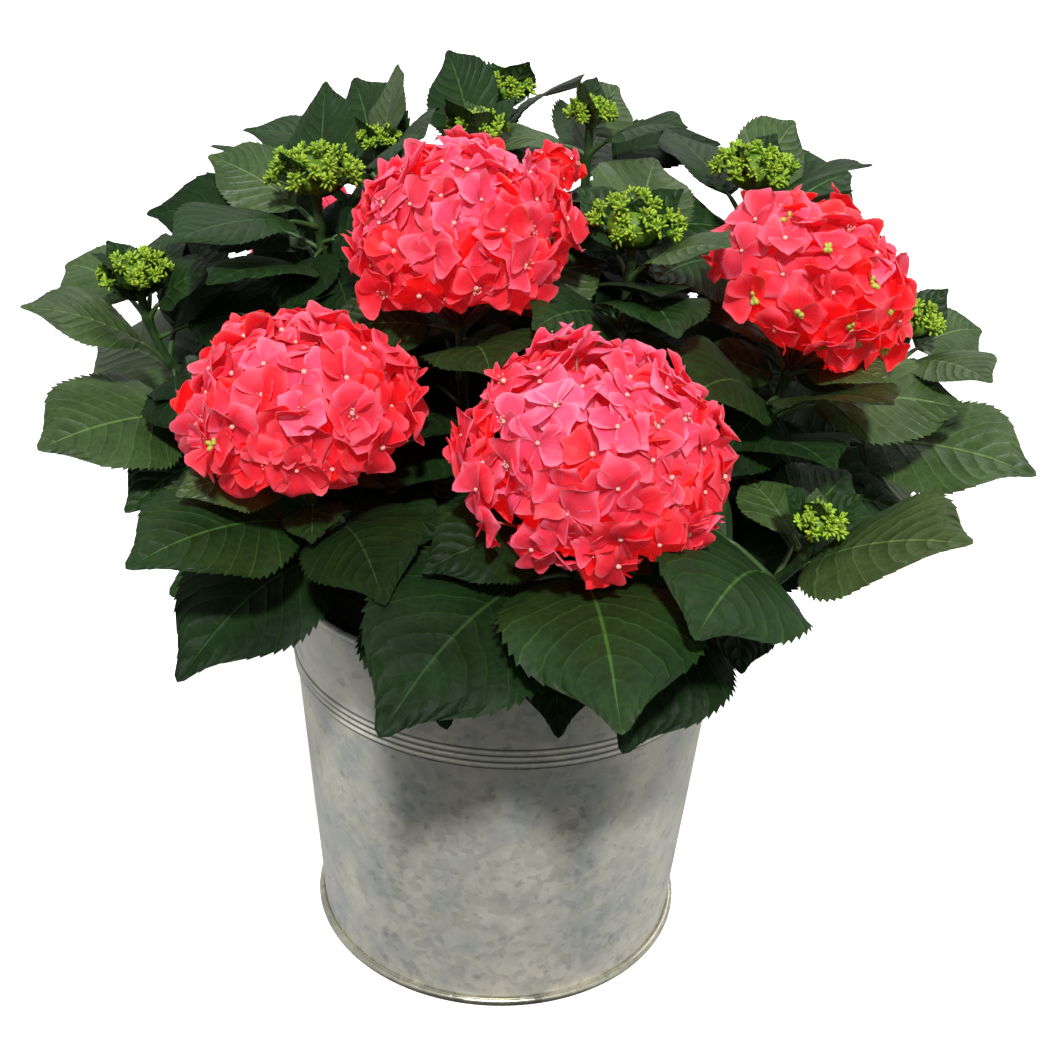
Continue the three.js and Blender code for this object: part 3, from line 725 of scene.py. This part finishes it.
def leaf_stalk(foot, az, rise, length, radius, sides=6, petiole=PETIOLE, arch=0.0):
    """The petiole, from inside the stem to a little way under the blade."""
    s = np.linspace(0, petiole + 0.03, 6)
    _, flat, high = leaf_line(s, rise, length)
    high = high + arch * length * np.sin(math.pi * s)
    path = foot + (0.9 + flat[:, None]) * level_way(az) + high[:, None] * UP
    path[-1] -= UP * 0.8
    return tube(path, radius * np.array([1.7, 1.15, 1, 0.95, 0.85, 0.5]), sides, 1)


BIG = Blade(8, [-1, -0.83, -0.6, -0.36, -0.15, -0.03, 0.03, 0.15, 0.36, 0.6, 0.83, 1], 0.045)
SMALL = Blade(5, [-1, -0.7, -0.35, -0.04, 0.04, 0.35, 0.7, 1], 0.075, 0.006)
BIG_FROM = 60  # the length from which a planned leaf takes the finer net
# the deep finish is painted shade, the bright one painted light as well as the young leaves' own paler green
DEEP_AND_SHADED, MID, BRIGHT_YOUNG_AND_LIT, YOUNG, BACK = range(5)  # the leaf finishes, in their order
# leaves whose finish is set one by one, painted light and shade, and leaves rolled on round their rib: shoot,
# azimuth
LIT_AND_SHADED_LEAVES = {("front", -82): MID, ("front_right", -115): MID, ("centre", -54): BRIGHT_YOUNG_AND_LIT, ("right", -64): MID,
          ("left", 172): MID, ("left", -131): MID, ("top_right", -39): MID, ("left", -69): DEEP_AND_SHADED,
          ("front", -150): DEEP_AND_SHADED}
ROLLED = {("left_low", -132): -0.35, ("left_low", -127): -0.3, ("left", 172): -0.25, ("right_low", -36): 0.25,
          ("right_low", -64): 0.35, ("top_right", -39): 0.6}
ARCH = 0.06  # how far the leaves over the pot's front bow up over their solids, in lengths
# the turn, lift and length with which an axil's leaf is tried, one after the other
AXIL_TRIES = [(0, 10, 92), (25, 0, 84), (-25, 18, 76), (40, 24, 68), (-40, -10, 62), (0, 34, 54),
              (60, 10, 60), (-60, -14, 70)]
AXIL_DROPS = (28, 62, 100, 119)
INNER_DROPS = (40, 75, 110)  # those of the shoot in the middle
AXIL_REACH = 208  # how far from the pot's axis their leaves may reach
# shoot, drop, azimuth, rise and length of single leaves that close the gaps left
COVER = [("upper_left", 34, -72, -8, 74), ("upper_left", 60, -112, -14, 86), ("upper_left", 50, -30, 4, 66),
         ("left_low", 48, -75, -6, 72), ("centre", 44, -88, -12, 70),
         ("upper_left", 24, -38, 6, 46), ("upper_left", 28, -96, -14, 66), ("crown", 72, -112, -2, 88),
         ("upper_left", 100, -30, -14, 84), ("crown", 108, 120, 14, 84), ("upper_left", 52, 90, 28, 84),
         ("upper_left", 68, 135, 28, 84), ("centre", 52, 105, 28, 84), ("right", 28, -120, -14, 84)]


def leaf_parts(shoot, rng):
    """The planned leaves of one shoot: painted shade on the lower ones inside and on those hanging low over
    the pot's front, painted light on those far out; some young ones bright.
    """
    leaves, stalks = [], []
    for n, foot, az, rise, length, wide in planned_leaves(shoot):
        young, tip = rng.random(), leaf_tip(foot, az, rise, length)
        away = math.hypot(tip[0], tip[1])
        over_front = tip[1] < -150 and abs(tip[0]) < 160
        # painted shade and light: darker inside and low over the front, brighter far out
        lamina = DEEP_AND_SHADED if n > 2 and away < 215 else MID
        if n == 1 and young < 0.35 or away > 245:
            lamina = BRIGHT_YOUNG_AND_LIT
        if over_front and tip[2] < 330:
            lamina = DEEP_AND_SHADED
        own = (shoot.name, round(az))
        place, arch = (foot, az, rise, length), ARCH if over_front else 0.0
        blade = BIG if length > BIG_FROM else SMALL
        leaves.append(blade.made(LIT_AND_SHADED_LEAVES.get(own, lamina), *place, shoot.toward, rng, wide, arch=arch,
                                 roll_on=ROLLED.get(own, 0.0)))
        stalks.append(leaf_stalk(*place, 1.5, 7, arch=arch))
    return leaves, stalks


def young_parts(shoot, rng):
    """Small leaves that close round the head and break from the axils below it."""
    leaves, stalks = [], []
    if shoot.head == "bud":
        start = shoot.az + 45 + rng.uniform(-15, 15)
        pairs = [(6, start, 56, 24 + shoot.r, MID), (2, start + 90, 64, 16 + 0.8 * shoot.r, BRIGHT_YOUNG_AND_LIT)]
    else:
        pairs = [(20, shoot.az + 45 + rng.uniform(-20, 20), 8, 44, MID)]
    for drop, az, rise, length, lamina in pairs:
        for k in (0, 180):
            size = length * rng.uniform(0.85, 1.12)
            place = (shoot.spot(drop), az + k + rng.uniform(-12, 12), rise + rng.uniform(-8, 8), size)
            leaves.append(SMALL.made(lamina, *place, shoot.toward, rng, petiole=0.12, wave=0.6))
            stalks.append(leaf_stalk(*place, 0.9, petiole=0.12))
    return leaves, stalks


def axil_leaves(rng, grown):
    """Smaller leaves from the axils lower down, wherever the crown has room for one.

    Each is tried as a coarse net of 6 by 4 points against the leaves so far, and kept
    clear of the heads.
    """
    cells = [(i * 4 + j, i * 4 + j + 4, i * 4 + j + 5, i * 4 + j + 1) for i in range(5) for j in range(3)]

    def coarse(points):
        blade, columns = (BIG, (0, 3, 8, 11)) if len(points) > 500 else (SMALL, (0, 3, 4, 7))
        rows = np.linspace(0, len(blade.t) - 1, 6).astype(int)
        return np.array([points[r * len(blade.v) + c] for r in rows for c in columns])

    def tree(nets):
        faces = [tuple(i + 24 * n for i in cell) for n in range(len(nets)) for cell in cells]
        return BVHTree.FromPolygons([Vector(p) for p in np.concatenate(nets)], faces)

    def has_room(net, own):
        if np.hypot(net[:, 0], net[:, 1]).max() > AXIL_REACH or net[:, 2].max() > own.middle[2] - 6:
            return False
        return all(np.linalg.norm(net - s.middle, axis=1).min() > s.r + (3 if s.head == "bloom" else 6)
                   for s in shoots if s is not own or s.head == "bloom")

    nets = [coarse(leaf[0]) for mass in grown for leaf in mass]
    others, made = tree(nets), {s.name: [] for s in shoots}
    for shoot in shoots:
        for row, drop in enumerate(INNER_DROPS if shoot.name == "inner" else AXIL_DROPS):
            start = shoot.az + 90 * (row % 2) + rng.uniform(-20, 20)
            for side in (0, 180):
                for turn, lift, length in AXIL_TRIES:
                    place = (shoot.spot(drop), start + side + turn, lift, length * rng.uniform(0.92, 1.08))
                    # painted shade: the leaves inside the crown take the deep finish
                    leaf = SMALL.made(DEEP_AND_SHADED, *place, shoot.toward, rng)
                    net = coarse(leaf[0])
                    if has_room(net, shoot) and not tree([net]).overlap(others):
                        nets.append(net)
                        others = tree(nets)
                        made[shoot.name].append((leaf, leaf_stalk(*place, 1.1)))
                        break
    for name, drop, *rest in COVER:
        shoot = next(s for s in shoots if s.name == name)
        place = (shoot.spot(drop), *rest)
        # painted shade: these take the deep finish too
        made[name].append((SMALL.made(DEEP_AND_SHADED, *place, shoot.toward, rng), leaf_stalk(*place, 1.1)))
    return made


# --------------------------------------------------------------------- blooms
GOLDEN = 137.508  # degrees from one floret or tuft to the next, as plants set them
PETAL_THICK = 0.34


def spread_over(count, span, rng, loose, start=0):
    """Places over a head, from its top downwards: the angle from its axis and the turn round it."""
    for i in range(count):
        c = 1 - (i + 0.5) * (span / count)
        turn = (i * GOLDEN + start + rng.uniform(-loose, loose)) % 360
        yield math.degrees(math.acos(max(-1, c))), turn


def on_head(shoot, polar, turn, scale=1.0):
    """A place on the head's dome, or beside it for another scale."""
    w, across = shoot.face, np.cross(UP, shoot.face)
    u = unit(across) if np.linalg.norm(across) > 1e-3 else np.array([1.0, 0, 0])
    v = np.cross(w, u)
    r = shoot.r * scale
    a, b = math.radians(polar), math.radians(turn)
    if shoot.dent:
        off = abs((turn - shoot.dent + 540) % 360 - 180) / 24
        r *= 1 - 0.2 * math.exp(-off * off) * math.sin(min(a, math.pi / 2))
    tall = (shoot.tall if polar <= 90 else 0.5) * r
    return shoot.middle + r * math.sin(a) * (u * math.cos(b) + v * math.sin(b)) + w * tall * math.cos(a)


class Petal(Sheet):
    """One broad petal drawn out to a point, closed above and below."""

    def __init__(self, width, point):
        self.rho = np.array([0.03, 0.18, 0.36, 0.54, 0.7, 0.83, 0.93])
        self.v = np.array([-1, -0.88, -0.45, 0, 0.45, 0.88, 1])
        self.width, self.point = np.array(width), point
        self.lay(self.v, 0.95 * self.rho, 0.96)

    def shape(self, length, wide, lift, curl, cup, rng):
        """In the petal's own frame: x outwards, y across, z up."""
        rho, v, width = self.rho[:, None], self.v[None, :], self.width[:, None]
        ripple, roll = rng.uniform(0, 6.28), rng.uniform(-0.34, 0.34)
        x = length * (rho - 0.16 * np.abs(v) ** 1.8 * rho * (1 - 0.3 * rho))
        y = v * width * wide * (1 + 0.05 * np.sin(9 * rho + ripple))
        z = length * (lift * rho + curl * rho ** 2.2) + cup * wide * np.abs(v) ** 1.8 * width
        z = z + 1.1 * np.sin(3.6 * v + ripple) * rho ** 1.6 + 0.5 * np.sin(7 * rho + 2 * ripple)
        z = z + roll * y * rho + 0.16 * np.cos(math.pi * v * 3) * rho
        top = np.stack([x, y, z], -1)
        tip = [[length * self.point, 0.4 * math.sin(ripple), length * (lift + curl * 1.1)]]
        return self.points(top, tip, top - [0, 0, PETAL_THICK])


POINTED = Petal([0.13, 0.55, 0.88, 1.0, 0.91, 0.66, 0.34], 1.07)
ROUND = Petal([0.13, 0.56, 0.88, 1.0, 0.98, 0.83, 0.52], 1.03)
TINTS = 6  # from the deepest red to the palest pink


def floret_parts(petal, centre, normal, size, spin, tint, rng, closed=0.0):
    """Four petals in two crossed pairs."""
    w = unit(normal)
    e = unit(np.cross([0.2, 0.3, 0.93], w))
    f = np.cross(w, e)
    parts = []
    lift, curl = rng.uniform(0.1, 0.42) + closed, rng.uniform(-0.6, -0.05)
    for k in range(4):
        q = spin + k * math.pi / 2 + rng.uniform(-0.13, 0.13)
        length, wide = size * rng.uniform(0.88, 1.1), size * rng.uniform(0.6, 0.74)
        own_lift, own_curl = lift + rng.uniform(-0.24, 0.24), curl + rng.uniform(-0.24, 0.24)
        p = petal.shape(length, wide, own_lift, own_curl, rng.uniform(-0.15, 0.55), rng)
        twist = rng.uniform(-0.2, 0.2) + 0.14
        out, y, z = p.T[:, :, None]
        across = y * math.cos(twist) - z * math.sin(twist)
        high = y * math.sin(twist) + z * math.cos(twist) + 0.8 * (k % 2)
        x = math.cos(q) * e + math.sin(q) * f
        points = centre + out * x + across * np.cross(w, x) + high * w
        own = int(np.clip(tint - (rng.random() < 0.15), 0, TINTS - 1))
        flat = petal.flat + [0, int(rng.integers(0, 400))]
        parts.append(part(points, petal.quads, petal.tris, own, flat))
    return parts


def eye_parts(centre, normal, small, looks, rng):
    """The bead in a floret's middle, with four green lobes or a ring of stamens on some."""
    green = rng.random() < looks["green"]
    size = rng.uniform(1.0, 1.5) * (0.7 if small else 1)
    eyes, stalks = [bead(centre + normal * 1.5, size, 0.8, normal, 1 if green else 0)], []

    def beside():
        side = rng.normal(size=3)
        return unit(side - normal * (side @ normal))

    if green:
        for _ in range(4):
            side = beside()
            lobe = centre + normal * 2.4 + side * 2.0
            eyes.append(bead(lobe, rng.uniform(1.2, 1.7), 1.5, unit(normal + side), 1, 5, 4))
    if rng.random() < looks["stamens"]:
        for _ in range(8):
            off = beside() * rng.uniform(1.2, 2.8)
            eyes.append(bead(centre + normal * rng.uniform(2.2, 4.2) + off, 0.45, 1, normal, 0, 5, 3))
            stalks.append(tube([centre + normal, centre + normal * 2.4 + off * 0.9], [0.2, 0.15], 4, 2))
    return eyes, stalks


def bloom_parts(shoot, rng, looks):
    """Florets over the whole head, and a second layer behind them that closes it."""
    hub, small = shoot.spot(STUB + 4), shoot.r < 30
    # the core takes the deepest red, painted shade of the head's inside, with that finish's painted glow
    core = bead(shoot.middle, shoot.r * 0.68, shoot.tall, shoot.face, 0, 14, 9)
    petals, eyes, stalks = [(*core, np.zeros((len(core[0]), 2)))], [], []
    # size and span of each layer, its share of the florets, and its florets on a small head
    layers = [(0.9, looks.get("span", 1.3), looks.get("count", 1.0), 8), (0.76, 1.25, 0.6, 3)]
    for layer, (scale, span, count, few) in enumerate(layers):
        florets = few if small else round(count * shoot.r * (shoot.r / 52) ** 0.9)
        for polar, turn in spread_over(florets, span, rng, 10, 40 * layer):
            s = looks.get("full", 1.0) * scale * rng.uniform(0.9, 1.06)
            centre, inner = on_head(shoot, polar, turn, s), on_head(shoot, polar, turn, s * 0.55)
            normal = unit(unit(centre - inner) + looks.get("loose", 0.2) * rng.normal(size=3))
            size = rng.uniform(12.6, 15.8) * (0.55 if small else 1)
            # painted light and shade: florets higher on the head and towards the front take paler pinks,
            # lower ones and the second layer deeper reds
            high = float((centre - shoot.middle) @ (UP + 0.3 * shoot.toward)) / shoot.r
            tint = round(looks["tint"] + 2.2 * high - 1.5 * layer + rng.uniform(-0.6, 0.6))
            petals += floret_parts(looks.get("petal", POINTED), centre, normal, size, rng.uniform(0, 6.28),
                                   tint, rng, 0.12 * layer)
            if layer == 0:
                more, rods = eye_parts(centre, normal, small, looks, rng)
                eyes += more
                stalks += rods
            waist = hub + (centre - hub) * 0.45 + shoot.face * 3
            stalks.append(tube([hub, waist, centre - normal * 0.6], [0.9, 0.7, 0.55], 5, 2))
    return petals, eyes, stalks


def bud_parts(shoot, rng):
    """A dome of small umbels, each a tuft of closed buds on a forked stalk."""
    beads, stalks = [], []
    foot = shoot.spot(1)
    spread = 2.5 + 0.085 * shoot.r
    for polar, turn in spread_over(max(9, round(1.5 * shoot.r)), 1.12, rng, 14):
        centre = on_head(shoot, polar, turn, rng.uniform(0.96, 1.12))
        from_middle = centre - shoot.middle
        centre = centre - shoot.face * 0.3 * (from_middle @ shoot.face) + 0.1 * from_middle
        out = unit(centre - shoot.middle + 0.5 * shoot.r * shoot.face)
        stalks.append(tube([foot, foot + (centre - foot) * 0.5 + shoot.face, centre], [0.9, 0.7, 0.55], 5, 1))
        for _ in range(26):
            way = unit(out * rng.uniform(0.15, 1.3) + rng.normal(size=3) * 0.75)
            end = centre + way * spread * rng.uniform(0.55, 1.1)
            beads.append(bead(end, rng.uniform(0.6, 0.95), 2.3, way, int(rng.random() < 0.35), 4, 4))
        beads.append(bead(centre - out * 0.6, spread * 0.66, 1, out, 2, 6, 4))
    beads.append(bead(shoot.middle, shoot.r * 0.78, 0.7, shoot.face, 2, 10, 7))
    return beads, stalks


# ----------------------------------------------------------------- pot and soil
# radii, heights and thicknesses in millimetres
POT = dict(base=115, height=254, rim=140, band_z=190.8, band=130, sheet=1.5)
RIDGE = dict(apart=4.375, half=2.19, height=1.45)
HOOP = dict(middle=117.1, wide=2.4, half=2.6)
WIRE = dict(radius=2.35, z=251.6)
WIRE_FROM = 0.2508  # in metres; above it the rolled edge is bright all round
SEAM = dict(wide=7.0, low=8.0, high=184.0)
SOIL = dict(rim=131, edge_z=225, heap=7, crumbs=700)


def between(z, low, high, r_low, r_high):
    """The radius at a height between two others, along a straight line."""
    return r_low + (r_high - r_low) * (z - low) / (high - low)


def wall_radius(z, inside=0.0):
    """The flared wall's outer radius, less what a place lies inside of it."""
    if z < POT["band_z"]:
        return between(z, 0, POT["band_z"], POT["base"], POT["band"]) - inside
    return between(z, POT["band_z"], POT["height"], POT["band"], POT["rim"] - POT["sheet"]) - inside


def wall_line(heights, inside=0.0):
    return [(wall_radius(z, inside), z) for z in heights]


def pot_wall():
    """The rolled sheet: a flared wall, three pressed ridges and a wired rim."""
    profile = wall_line([2.3, *np.arange(12, 181, 7)])
    for k in (-1, 0, 1):
        for off in (-2.19, -1.7, -1.15, -0.6, 0, 0.6, 1.15, 1.7):
            z, rise = POT["band_z"] + k * RIDGE["apart"] + off, -0.15
            if abs(off) < RIDGE["half"]:
                rise = RIDGE["height"] * math.cos(off / RIDGE["half"] * math.pi / 2) ** 1.4
            profile.append((wall_radius(z) + rise, z))
    profile += wall_line([197.6, *np.arange(203, 247, 7), 247.8])
    for q in range(-60, 211, 22):  # the wire rolled into the rim
        a = math.radians(q)
        profile.append((wall_radius(POT["height"]) - 0.4 + WIRE["radius"] * math.cos(a),
                        WIRE["z"] + WIRE["radius"] * math.sin(a)))
    profile += wall_line([*np.arange(246, 190, -11), *np.arange(186, 2, -20), 2.3], POT["sheet"])
    obj = one_of(ring_up(profile, 180, bridged=True), side_seam())
    pale, inside_shade = ("#bbc0bb", "#cccdc3", "#dad7c9", "#e8e3d3"), ("#2e2f2b", "#3a3b36", "#46473f", "#54554c")
    obj.data.materials.append(zinc("zinc_spangled", pale, metallic=0.45, groove_shade=True))
    obj.data.materials.append(zinc("zinc_inside", inside_shade, (0.55, 0.75), 0.3))
    # painted shade: the faces inside the wall, below the rolled edge, take the dark zinc
    for face in obj.data.polygons:
        inward = face.normal.x * face.center.x + face.normal.y * face.center.y < 0
        face.material_index = int(inward and face.center.z < WIRE_FROM)
    return settle(obj, "pot_sheet", "pot", "pot_wall")


def side_seam():
    """The folded seam that closes the sheet, at the back."""
    bpy.ops.mesh.primitive_cube_add(size=1, location=(0, 0, 0))
    seam = bpy.context.object
    for v in seam.data.vertices:
        z = SEAM["high"] if v.co.z > 0 else SEAM["low"]
        r = wall_radius(z) + (0.75 if v.co.y > 0 else -0.6)
        v.co = Vector((v.co.x * SEAM["wide"], r, z)) * MM
    bpy.ops.object.mode_set(mode="EDIT")
    bpy.ops.mesh.select_all(action="SELECT")
    bpy.ops.mesh.bevel(offset=0.0004, segments=2)
    bpy.ops.object.mode_set(mode="OBJECT")
    bpy.ops.object.shade_smooth_by_angle(angle=math.radians(40))
    return seam


def pot_base():
    """The foot hoop round the wall and the floor set up inside it."""
    turns = [math.radians(q) for q in range(-90, 91, 20)]
    profile = [(HOOP["middle"] + HOOP["wide"] * math.cos(a), HOOP["half"] * (1 + math.sin(a))) for a in turns]
    profile += [(116.7, 5.9), (115.75, 5.6), (115.55, 4.6), (115.5, 2.0), (60, 2.0), (2, 2.0)]
    obj = ring_up(profile[::-1], 180)
    warm = ("#a3a292", "#b8b6a4", "#cbc8b4", "#dbd8c6")
    obj.data.materials.append(zinc("zinc_hoop", warm, (0.2, 0.34), 0.9))
    return settle(obj, "pot_foot", "pot", "pot_base")


def heaped(r):
    """How high the soil lies at a radius."""
    return SOIL["edge_z"] + SOIL["heap"] * min(1, (SOIL["rim"] - r) / 58) ** 0.8


def potting_soil(rng):
    """Crumbly soil, heaped a little round the canes, with loose crumbs on it."""
    profile = [(112.5, 2.6), *wall_line([60, POT["band_z"]], 2.6), (wall_radius(225) - 2.5, 224.4)]
    profile += [(r, heaped(r)) for r in range(129, 3, -3)]
    obj = ring_up(profile, 96)
    for v in obj.data.vertices:
        x, y, z = v.co
        if z > 0.2:
            bump = 0.0016 * math.sin(61 * x + 3) * math.sin(71 * y) + 0.0011 * math.sin(190 * x + 140 * y)
            inside = min(1, max(0, (0.13 - math.hypot(x, y)) / 0.01))
            v.co.z = z + (bump + 0.0008 * rng.normal()) * inside * 0.8
    dark = soil_finish()
    obj.data.materials.append(dark)
    crumbs = []
    for _ in range(SOIL["crumbs"]):
        r, a = 126 * math.sqrt(rng.random()), rng.uniform(0, 6.28)
        place = np.array([r * math.cos(a), r * math.sin(a), heaped(r)])
        size, squash = rng.uniform(0.9, 3.0), rng.uniform(0.4, 0.9)
        points, *faces = bead(place, size, squash, rng.normal(size=3), 0, 5, 3)
        crumbs.append((points + rng.normal(size=points.shape) * 0.25, *faces))
    return settle(one_of(obj, from_arrays("crumbs", crumbs, [dark])), "potting_soil_crumbs", "soil",
                  "potting_soil")


# ---------------------------------------------------------------- canes, stems
CANE_RADIUS = 0.005
THICK, THIN = 1.04, 0.72  # shares of that radius at the foot and where the green stem starts
SCARS_APART = 38  # along the cane, in millimetres


def cane_curve(shoot):
    """The cane as a curve between its foot and its head, thick at the foot."""
    bpy.ops.curve.primitive_bezier_curve_add()
    obj = bpy.context.object
    curve = obj.data
    curve.dimensions = "3D"
    first, last = curve.splines[0].bezier_points
    for point in (first, last):
        point.handle_left_type = point.handle_right_type = "FREE"
    a, b, c, d = (Vector(p * MM) for p in shoot.ends)
    first.co, first.handle_right, first.handle_left = a, b, a - (b - a)
    last.co, last.handle_left, last.handle_right = d, c, d + (d - c)
    share = (shoot.length - TIP_DROP) / shoot.length
    first.radius, last.radius = THICK, THICK - (THICK - THIN) / share
    curve.resolution_u, curve.bevel_resolution, curve.bevel_depth = 64, 4, CANE_RADIUS
    curve.bevel_factor_mapping_end = "SPLINE"
    curve.bevel_factor_end = share
    curve.use_fill_caps = True
    return obj


def canes():
    """Woody lower canes with bark relief and the scars of old leaf pairs."""
    made = []
    for shoot in shoots:
        cane_curve(shoot)
        bpy.ops.object.convert(target="MESH")
        made.append(bpy.context.object)
        for drop in np.arange(TIP_DROP + 22, shoot.length - 12, SCARS_APART):
            turn = Vector(shoot.along(drop)).to_track_quat("Z", "Y").to_euler()
            bpy.ops.mesh.primitive_torus_add(
                major_segments=14, minor_segments=6, major_radius=0.0041 + 0.00001 * drop,
                minor_radius=0.0011, location=Vector(shoot.spot(drop) * MM), rotation=turn)
            made.append(bpy.context.object)
    obj = one_of(*made)
    rough = bpy.data.textures.new("bark", "CLOUDS")
    rough.noise_scale = 0.004
    relief = obj.modifiers.new("bark", "DISPLACE")
    relief.texture, relief.strength, relief.texture_coords = rough, 0.0012, "GLOBAL"
    bpy.ops.object.modifier_apply(modifier="bark")
    obj.data.materials.clear()
    obj.data.materials.append(bark_finish("cane_bark", "#3a2f22", "#5d4d38", "#7d6c52"))
    bpy.ops.object.shade_smooth()
    return settle(obj, "canes", "cane", *["cane_" + s.name for s in shoots])


def stem_part(shoot):
    """The green upper stem, swollen where each pair of leaves joins it."""
    top = STUB - 4 if shoot.head == "bloom" else 0
    swollen = [[d - 3, d, d + 3] for d in NODE_DROP if d + 3 < TIP_DROP]
    drops = np.unique(np.concatenate([np.linspace(TIP_DROP + 1, top, 26), *swollen]))[::-1]
    radii = 2.45 + 0.85 * (drops / TIP_DROP)
    for d in NODE_DROP:
        radii = radii + 0.75 * np.exp(-((drops - d) / 3.0) ** 2)
    path = shoot.spot(drops)
    if shoot.head == "bud":
        path, radii = np.concatenate([path, shoot.middle[None]]), np.append(radii, 1.6)
    return tube(path, radii, 9, 0)


# ------------------------------------------------------------------ putting up
def leaf_finishes():
    return [leaf_finish("leaf_deep", "#0e1e0b", "#162b10", "#2f4c20", 0.5, 0.1),
            leaf_finish("leaf_green", "#152a0f", "#1f3815", "#47702f", 0.46, 0.2),
            leaf_finish("leaf_bright", "#2e4220", "#3f552b", "#6f8c4a", 0.42),
            leaf_finish("leaf_young", "#47692a", "#5b8033", "#7a9c48", 0.5),
            leaf_finish("leaf_underside", "#33502c", "#42613a", "#6a8a58", 0.6, 0.2)]


def petal_finishes():
    # each tint's colour, the colour of its rim and its painted glow, strongest in the deep reds
    return [petal_finish("petal_" + name, *looks) for name, *looks in [
        ("ember", "#e81012", "#ee3034", 0.34), ("red", "#f01a20", "#f44650", 0.27),
        ("coral", "#ee2838", "#f25c6c", 0.1), ("rose", "#f2384f", "#f7738d", 0.06),
        ("pink", "#f6486a", "#fa88a4", 0.08), ("blush", "#fa5c82", "#fc9cb8", 0.08)]]


def stem_finishes():
    return [bark_finish("stem_green", "#1b2c14", "#27401c", "#3b5629", 0.5),
            finish("petiole_green", "#3a5626"), finish("pedicel_pink", "#9a5f4a")]


def bud_finishes():
    return [bead_finish("bud_lime", "#8cac2a", "#a9ca3e"), bead_finish("bud_green", "#6a8824", "#87a436"),
            bead_finish("bud_heart", "#4d6d1a", "#678e24")]


# what each bloom has of its own: the tint of its middle, the share of its florets with green
# lobes and with stamens, how far down they reach, how full, how many and how loose they are
BLOOMS = {
    "front": dict(tint=2.6, green=0.0, stamens=0.35, span=1.36),
    "left": dict(tint=2.1, green=0.03, stamens=0.15, span=1.28, full=0.96, petal=ROUND),
    "right": dict(tint=1.7, green=0.3, stamens=0.1, count=0.84, loose=0.34, petal=ROUND),
    "crown": dict(tint=2.4, green=0.06, stamens=0.15, full=0.94),
    "inner": dict(tint=1.4, green=0.2, stamens=0.0, full=0.7),
    "back_left": dict(tint=2.3, green=0.1, stamens=0.2),
    "back": dict(tint=2.3, green=0.0, stamens=0.3),
}
LEAF_GROUPS = [(0, 4), (4, 9), (9, 14), (14, 18)]  # the shoots that share a piece of leaves
PETAL_GROUPS = [(0, 2), (2, 5), (5, 7)]  # and the blooms that share one of petals


def plant():
    """Everything that grows: it is made shoot by shoot and put up in a few large pieces."""
    leaves, stalks, petals, eyes, beads = [], [], [], [], []
    for shoot in shoots:
        rng = np.random.default_rng(1000 + shoot.order)
        own, rods = leaf_parts(shoot, rng)
        more, young_rods = young_parts(shoot, rng)
        leaves.append(own + more)
        stalks += [stem_part(shoot)] + rods + young_rods
        if shoot.head == "bloom":
            head, its_eyes, rods = bloom_parts(shoot, rng, BLOOMS[shoot.name])
            petals.append(head)
            eyes += its_eyes
        else:
            tufts, rods = bud_parts(shoot, rng)
            beads += tufts
        stalks += rods
    for mass, extra in zip(leaves, axil_leaves(np.random.default_rng(11), leaves).values()):
        mass += [leaf for leaf, rod in extra]
        stalks += [rod for leaf, rod in extra]

    blooms = [s.name for s in shoots if s.head == "bloom"]
    for slot, node, masses, names, groups, finishes in [
            ("leaves", "foliage_", leaves, [s.name for s in shoots], LEAF_GROUPS, leaf_finishes()),
            ("petals", "bloom_", petals, blooms, PETAL_GROUPS, petal_finishes())]:
        for k, (a, b) in enumerate(groups):
            name = f"{slot}_{k + 1}"
            obj = from_arrays(name, [x for mass in masses[a:b] for x in mass], finishes, True)
            settle(obj, name, slot, *[node + n for n in names[a:b]])
    eye_finishes = [finish("eye_cream", "#f2b4a8"), finish("eye_green", "#b4b94e")]
    settle(from_arrays("floret_eyes", eyes, eye_finishes), "floret_eyes", "petals")
    settle(from_arrays("flower_buds", beads, bud_finishes()), "flower_buds", "leaves")
    settle(from_arrays("stems_and_stalks", stalks, stem_finishes()), "stems_and_stalks", "leaves")


set_camera()
set_light()
pot_wall()
pot_base()
potting_soil(np.random.default_rng(7))
canes()
plant()

bpy.context.view_layer.update()
